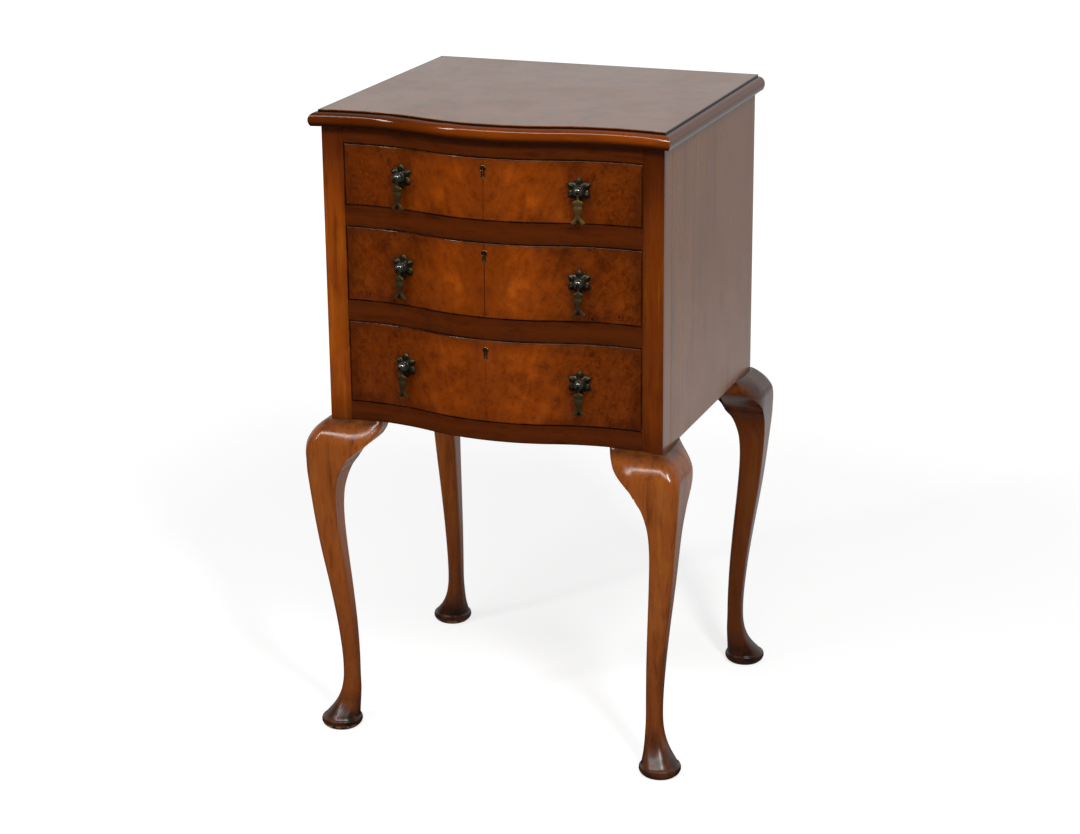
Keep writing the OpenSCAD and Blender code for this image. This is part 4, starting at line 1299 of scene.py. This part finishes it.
def keyhole(width, height, steps=20):
    """Outline of a keyhole about its middle: a round head over a flared slot."""
    r = width / 2
    neck = 0.5
    foot = 0.78
    top = height / 2 - r
    angle = math.acos(neck)
    made = [(r * foot, -height / 2)]
    for k in range(steps + 1):
        a = -angle + (math.pi + 2 * angle) * k / steps
        made.append((r * math.cos(a), top + r * math.sin(a)))
    made.append((-r * foot, -height / 2))
    return made


def escutcheon(mesh, node):
    """A thread lining let into the veneer, with a rounded lip."""
    low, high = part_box(node)
    width, height = (high.x - low.x), (high.z - low.z)
    middle = (low.z + high.z) / 2
    wall = 0.9 * MM
    brow = low.y + 0.06 * MM
    shoulder = low.y + 0.3 * MM
    section = (
        (0.0, high.y), (0.0, shoulder), (0.12, brow), (0.35, low.y),
        (0.65, low.y), (0.88, brow), (1.0, shoulder), (1.0, high.y),
    )
    rings = []
    for inset, y in section:
        out = keyhole(width - 2 * wall * inset, height - 2 * wall * inset)
        rings.append([(x, y, middle + z) for x, z in out])
    loft(mesh, rings, capped=False)


# Operators


class CHEST_OT_top(bpy.types.Operator):
    """Makes the veneered top with its eased edge."""

    bl_idname = "chest.top"
    bl_label = "Top"

    def execute(self, context):
        sizes = context.scene.chest_sizes
        front = Serpentine(sizes)
        mesh = bmesh.new()
        rings = []
        low, high = VENEER[0].z, VENEER[1].z
        edge = sizes.top_edge

        def outline(inset, z):
            half = CASE_HALF + TOP_LIP - inset
            back = TOP_BACK - inset
            made = [(x, y, z) for x, y in front.line(TOP_LIP - inset, half)]
            return made + [(half, back, z), (-half, back, z)]

        rings.append(outline(0.0, low))
        steps = 5
        for k in range(steps + 1):
            a = math.pi / 2 * k / steps
            rings.append(outline(edge * (1 - math.cos(a)), high - edge + edge * math.sin(a)))
        loft(mesh, rings)
        piece("top_burr_veneer", mesh, "walnut_top", "case", ["top_veneer"])
        return {"FINISHED"}


class CHEST_OT_mouldings(bpy.types.Operator):
    """Makes the edge moulding along the front and both sides, mitred at the corners."""

    bl_idname = "chest.mouldings"
    bl_label = "Mouldings"

    def execute(self, context):
        sizes = context.scene.chest_sizes
        front = Serpentine(sizes)
        section = moulding_section(sizes)
        mesh = bmesh.new()
        lines = [front.line(out, CASE_HALF + out) for out, z in section]
        rings = []
        for i in range(len(lines[0])):
            rings.append([(line[i][0], line[i][1], z) for line, (out, z) in zip(lines, section)])
        loft(mesh, rings)
        piece("front_edge_moulding", mesh, "walnut_moulding", "case", ["front_moulding"], sharp=30)
        mesh = bmesh.new()
        for side in (-1, 1):
            rings = []
            for share in (0.0, 0.5, 1.0):
                ring = []
                for out, z in section:
                    x = CASE_HALF + out
                    mitre = front.y(x, out)
                    ring.append((side * x, mitre + (TOP_BACK - mitre) * share, z))
                rings.append(ring)
            loft(mesh, rings)
        piece(
            "side_edge_mouldings", mesh, "walnut_moulding_sides", "case", ["side_mouldings"],
            sharp=30,
        )
        return {"FINISHED"}


class CHEST_OT_case(bpy.types.Operator):
    """Makes the case's posts, side panels and curved rails."""

    bl_idname = "chest.case"
    bl_label = "Case"

    def execute(self, context):
        sizes = context.scene.chest_sizes
        front = Serpentine(sizes)
        inner, outer = OPEN_HALF, CASE_HALF
        steps = 12
        xs = [inner + (outer - inner) * k / steps for k in range(steps + 1)]
        face = [(x, front.y(x)) for x in xs]
        radii = [sizes.board_edge] + [0] * (steps - 1) + [sizes.post_edge, sizes.board_edge, 0]
        outline = rounded(face + [(outer, POST_BACK), (inner, POST_BACK)], radii, 8)
        mesh = bmesh.new()
        for side in (-1, 1):
            loft(mesh, [[(side * x, y, z) for x, y in outline] for z in (LEG_H, CASE_TOP)])
        piece("front_corner_posts", mesh, "walnut_posts", "case", ["front_posts"], sharp=30)
        for side, word in ((-1, "left"), (1, "right")):
            low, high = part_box(f"side_panel_{word}")
            inner_x = min(abs(low.x), abs(high.x))
            outline = rounded(
                [(inner_x, POST_BACK), (outer, POST_BACK), (outer, high.y), (inner_x, high.y)],
                [0, sizes.board_edge, sizes.board_edge, 0], 4,
            )
            mesh = bmesh.new()
            loft(mesh, [[(side * x, y, z) for x, y in outline] for z in (low.z, high.z)])
            piece(f"{word}_side", mesh, "walnut_sides", "case", [f"side_panel_{word}"], sharp=30)
        rail_back = -10 * MM
        for name in RAILS:
            low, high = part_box(name)
            mesh = bmesh.new()
            swept_board(mesh, front, OPEN_HALF, rail_back, low.z, high.z, sizes.rail_edge)
            piece(f"{name}_face", mesh, "walnut_rails", "case")
        return {"FINISHED"}


def in_drawers(*parts):
    """The nodes of these parts in each of the drawers."""
    return [f"{drawer}_drawer_{part}" for drawer in DRAWERS for part in parts]


class CHEST_OT_linings(bpy.types.Operator):
    """Gives the plain boards, dowels, screws and locks their finishes and eased edges."""

    bl_idname = "chest.linings"
    bl_label = "Inside pieces"

    def execute(self, context):
        finishes = {
            "carcase_pine": ["runners", "kickers", "guides", "bottom_board"],
            "pine_across": ["top_panel", "rear_rails", "drawer_stops", *in_drawers("front")],
            "back_plywood": ["back_panel"],
            "walnut_posts": ["rear_posts"],
            "walnut_rails": RAILS,
            "drawer_oak": ["leg_dowels", *in_drawers("sides", "bottom")],
            "oak_across": in_drawers("back"),
            "steel_screws": ["top_screws"],
            "brass": in_drawers("lock", "bolt"),
        }
        eased = [
            "back_panel", "rear_posts", "rear_rails", "runners", "kickers", "guides", "drawer_stops",
            *in_drawers("back", "bottom", "lock"),
        ]
        for name, nodes in finishes.items():
            for node in nodes:
                solid = frame["nodes"][node]
                for place in solid.material_slots:
                    place.material = finish(name, "case")
                if not solid.material_slots:
                    solid.data.materials.append(finish(name, "case"))
                if node in eased:
                    edge = solid.modifiers.new("eased_edges", "BEVEL")
                    edge.width = context.scene.chest_sizes.board_edge
                    edge.segments = 2
                    edge.limit_method = "ANGLE"
                    edge.angle_limit = math.radians(60)
        return {"FINISHED"}


class CHEST_OT_legs(bpy.types.Operator):
    """Makes the four cabriole legs with their pad feet."""

    bl_idname = "chest.legs"
    bl_label = "Legs"

    def execute(self, context):
        sizes = context.scene.chest_sizes
        front = Serpentine(sizes)
        for sy, end in ((-1, "front"), (1, "rear")):
            for sx, side in ((-1, "left"), (1, "right")):
                mesh = bmesh.new()
                leg(mesh, front, sizes, sx, sy)
                node = f"leg_{end}_{side}"
                piece(f"{end}_{side}_leg", mesh, "walnut_legs", "case", [node], sharp=35)
        return {"FINISHED"}


class CHEST_OT_knees(bpy.types.Operator):
    """Makes the carved knee blocks beside each leg."""

    bl_idname = "chest.knees"
    bl_label = "Knee blocks"

    def execute(self, context):
        sizes = context.scene.chest_sizes
        front = Serpentine(sizes)
        for sy, end in ((-1, "front"), (1, "rear")):
            mesh = bmesh.new()
            for sx in (-1, 1):
                for on_side in (False, True):
                    knee_block(mesh, front, sizes, sx, sy, on_side)
            node = f"{end}_knee_blocks"
            piece(f"{end}_carved_knees", mesh, "walnut_legs", "case", [node], sharp=35)
        return {"FINISHED"}


class CHEST_OT_drawers(bpy.types.Operator):
    """Makes the veneered drawer fronts and their keyhole linings."""

    bl_idname = "chest.drawers"
    bl_label = "Drawer fronts"

    def execute(self, context):
        sizes = context.scene.chest_sizes
        front = Serpentine(sizes)
        veneer_back = -1.0 * MM
        play = 0.1 * MM
        through = 10 * MM
        for drawer in DRAWERS:
            body = f"{drawer}_drawer"
            node = f"{body}_veneer"
            low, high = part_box(node)
            mesh = bmesh.new()
            swept_board(mesh, front, high.x, veneer_back, low.z, high.z, sizes.drawer_edge)
            made = piece(f"{drawer}_front_veneer", mesh, "burr_walnut", body, [node], sharp=30)
            node = f"{body}_escutcheon"
            low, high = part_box(node)
            middle = (low.z + high.z) / 2
            outline = keyhole(high.x - low.x + play, high.z - low.z + play)
            cutter = bmesh.new()
            ends = (CREST_Y - through, CREST_Y + through)
            loft(cutter, [[(x, y, middle + z) for x, z in outline] for y in ends])
            cut(made, cutter, 30)
            mesh = bmesh.new()
            escutcheon(mesh, node)
            piece(
                f"{drawer}_keyhole_lining", mesh, "keyhole_brass", body, [node],
                sharp=50,
            )
        return {"FINISHED"}


class CHEST_OT_handles(bpy.types.Operator):
    """Makes the rosettes, bosses and nuts of the six handles."""

    bl_idname = "chest.handles"
    bl_label = "Handles"

    def execute(self, context):
        sizes = context.scene.chest_sizes
        for drawer in DRAWERS:
            body = f"{drawer}_drawer"
            node = f"{body}_handle_mounts"
            mesh = bmesh.new()
            for side in SIDES:
                handle_mount(mesh, sizes, drawer, side)
            piece(f"{drawer}_rosettes", mesh, "aged_bronze", body, [node], sharp=50)
            for side in SIDES:
                place = handle_place(drawer, side)
                mesh = bmesh.new()
                lathe(mesh, boss_profile(sizes.boss_r / MM), 56, place @ OUTWARD)
                name = f"{drawer}_boss_{side}"
                made = piece(name, mesh, "boss_bronze", body, sharp=50)
                cut(made, boss_slot(place), 50)
        return {"FINISHED"}


class CHEST_OT_drops(bpy.types.Operator):
    """Makes the six hanging drops, each on its own pin."""

    bl_idname = "chest.drops"
    bl_label = "Drops"

    def execute(self, context):
        sizes = context.scene.chest_sizes
        for drawer in DRAWERS:
            for side in SIDES:
                place = handle_place(drawer, side)
                mesh = bmesh.new()
                drop(mesh, place, sizes.drop_t / MM)
                drop_eye(mesh, place)
                node = f"{drawer}_drawer_drop_{side}"
                body = f"{drawer}_drop_{side}"
                piece(
                    f"{body}_cast", mesh, "drop_bronze", body, [node], sharp=50
                )
        return {"FINISHED"}


class CHEST_OT_stage(bpy.types.Operator):
    """Makes the camera, the floor, the soft lamps and the pale surroundings."""

    bl_idname = "chest.stage"
    bl_label = "Stage"

    def execute(self, context):
        make_camera(context)
        make_floor()
        make_lamps()
        make_world(context)
        return {"FINISHED"}


def make_camera(context):
    """The photograph's view: from the right and above, with a long lens."""
    place = (1.00778, -2.66928, 1.28876)
    data = bpy.data.cameras.new("camera")
    data.sensor_width = 36
    data.lens = 84.31
    data.clip_end = 50
    camera = bpy.data.objects.new("camera", data)
    azimuth, elevation, roll = (math.radians(v) for v in (20.84, 18.14, -0.52))
    level = math.cos(elevation)
    back = Vector((math.sin(azimuth) * level, -math.cos(azimuth) * level, math.sin(elevation)))
    right = Vector((math.cos(azimuth), math.sin(azimuth), 0))
    up = back.cross(right)
    tilted = math.cos(roll) * right + math.sin(roll) * up
    upright = -math.sin(roll) * right + math.cos(roll) * up
    turn = Matrix((tilted, upright, back)).transposed().to_4x4()
    camera.matrix_world = Matrix.Translation(place) @ turn
    context.scene.collection.objects.link(camera)
    context.scene.camera = camera


def by_ray(tree, plain, for_camera, in_polish):
    """One shader for the light, one that the camera sees, and one that polished surfaces see."""
    seen = add(tree, "ShaderNodeLightPath").outputs
    shown = add(
        tree, "ShaderNodeMixShader",
        {0: seen["Is Camera Ray"], 1: plain.outputs[0], 2: for_camera.outputs[0]},
    )
    mirror = math_node(tree, "MAXIMUM", seen["Is Glossy Ray"], seen["Is Transmission Ray"])
    return add(
        tree, "ShaderNodeMixShader", {0: mirror, 1: shown.outputs[0], 2: in_polish.outputs[0]}
    ).outputs[0]


def make_floor():
    """A near-white floor with a soft shadow. Polished surfaces see it dark in front, pale behind."""
    mesh = bmesh.new()
    bmesh.ops.create_grid(mesh, x_segments=1, y_segments=1, size=12.0)
    data = bpy.data.meshes.new("floor")
    mesh.to_mesh(data)
    mesh.free()
    floor = bpy.data.objects.new("floor", data)
    bpy.context.scene.collection.objects.link(floor)
    material, tree = new_tree("pale_floor")
    place = object_place(tree)
    ahead = axes(tree, place)["Y"]
    away = add(tree, "ShaderNodeVectorMath", {0: place}, operation="LENGTH").outputs["Value"]
    lit = add(tree, "ShaderNodeBsdfDiffuse", {"Color": grey(0.8)})
    shaded = add(tree, "ShaderNodeBsdfDiffuse", {"Color": grey(0.36)})
    fading = between(tree, away, 0.7, 2.6, 0.76, 1.0)
    white = add(tree, "ShaderNodeEmission", {"Color": grey(1.0), "Strength": fading})
    shown = add(tree, "ShaderNodeAddShader", {0: shaded.outputs[0], 1: white.outputs[0]})
    behind = between(tree, ahead, -0.1, 0.9, 0.02, 0.69)
    behind = times(tree, behind, between(tree, ahead, 1.1, 2.2, 1.0, 0.74))
    reflected = add(tree, "ShaderNodeEmission", {"Color": grey(1.0), "Strength": behind})
    both = by_ray(tree, lit, shown, reflected)
    add(tree, "ShaderNodeOutputMaterial", {"Surface": both})
    data.materials.append(material)


def make_lamps():
    """Softboxes: an upright strip on each side in front, and a wide one between them, higher."""
    target = Vector((0, 0, 0.45))
    for name, place, size, power in (
        ("left_softbox", (-1.8, -2.0, 2.25), (0.25, 0.9), 18),
        ("right_softbox", (1.5, -1.8, 2.6), (0.3, 1.0), 52),
        ("front_softbox", (-0.3, -2.0, 2.75), (2.5, 0.45), 40),
    ):
        data = bpy.data.lights.new(name, "AREA")
        data.shape = "RECTANGLE"
        data.size, data.size_y = size
        data.energy = power
        lamp = bpy.data.objects.new(name, data)
        lamp.location = place
        lamp.rotation_mode = "QUATERNION"
        lamp.rotation_quaternion = (target - Vector(place)).to_track_quat("-Z", "Y")
        bpy.context.scene.collection.objects.link(lamp)


def make_world(context):
    """Even soft light. The camera sees white, and polished surfaces pale behind and dark in front."""
    world = bpy.data.worlds.new("studio")
    world.use_nodes = True
    tree = world.node_tree
    tree.nodes.clear()
    direction = add(tree, "ShaderNodeTexCoord").outputs["Generated"]
    behind = between(tree, axes(tree, direction)["Y"], -0.3, 0.4, 0.02, 0.73)
    soft = add(tree, "ShaderNodeBackground", {"Color": grey(1.0), "Strength": 0.22})
    white = add(tree, "ShaderNodeBackground", {"Color": grey(1.0), "Strength": 1.0})
    reflected = add(tree, "ShaderNodeBackground", {"Color": grey(1.0), "Strength": behind})
    add(tree, "ShaderNodeOutputWorld", {"Surface": by_ray(tree, soft, white, reflected)})
    context.scene.world = world
    context.scene.view_settings.view_transform = "Standard"


class VIEW3D_PT_chest(bpy.types.Panel):
    """Lists the chest's pieces, sizes and colours."""

    bl_label = "Bedside Chest"
    bl_space_type = "VIEW_3D"
    bl_region_type = "UI"
    bl_category = "Chest"

    def draw(self, context):
        for operator in OPERATORS:
            self.layout.operator(operator.bl_idname)
        for group in (context.scene.chest_sizes, context.scene.chest_colours):
            column = self.layout.column()
            for name in group.__annotations__:
                column.prop(group, name)


OPERATORS = (
    CHEST_OT_stage,
    CHEST_OT_top,
    CHEST_OT_mouldings,
    CHEST_OT_case,
    CHEST_OT_linings,
    CHEST_OT_legs,
    CHEST_OT_knees,
    CHEST_OT_drawers,
    CHEST_OT_handles,
    CHEST_OT_drops,
)
CLASSES = (ChestSizes, ChestColours, VIEW3D_PT_chest, *OPERATORS)


def register():
    for item in CLASSES:
        bpy.utils.register_class(item)
    bpy.types.Scene.chest_sizes = bpy.props.PointerProperty(type=ChestSizes)
    bpy.types.Scene.chest_colours = bpy.props.PointerProperty(type=ChestColours)


def unregister():
    del bpy.types.Scene.chest_colours
    del bpy.types.Scene.chest_sizes
    for item in reversed(CLASSES):
        bpy.utils.unregister_class(item)


def main():
    register()
    bpy.ops.chest.stage()
    bpy.ops.chest.top()
    bpy.ops.chest.mouldings()
    bpy.ops.chest.case()
    bpy.ops.chest.linings()
    bpy.ops.chest.legs()
    bpy.ops.chest.knees()
    bpy.ops.chest.drawers()
    bpy.ops.chest.handles()
    bpy.ops.chest.drops()


if __name__ == "__main__":
    main()
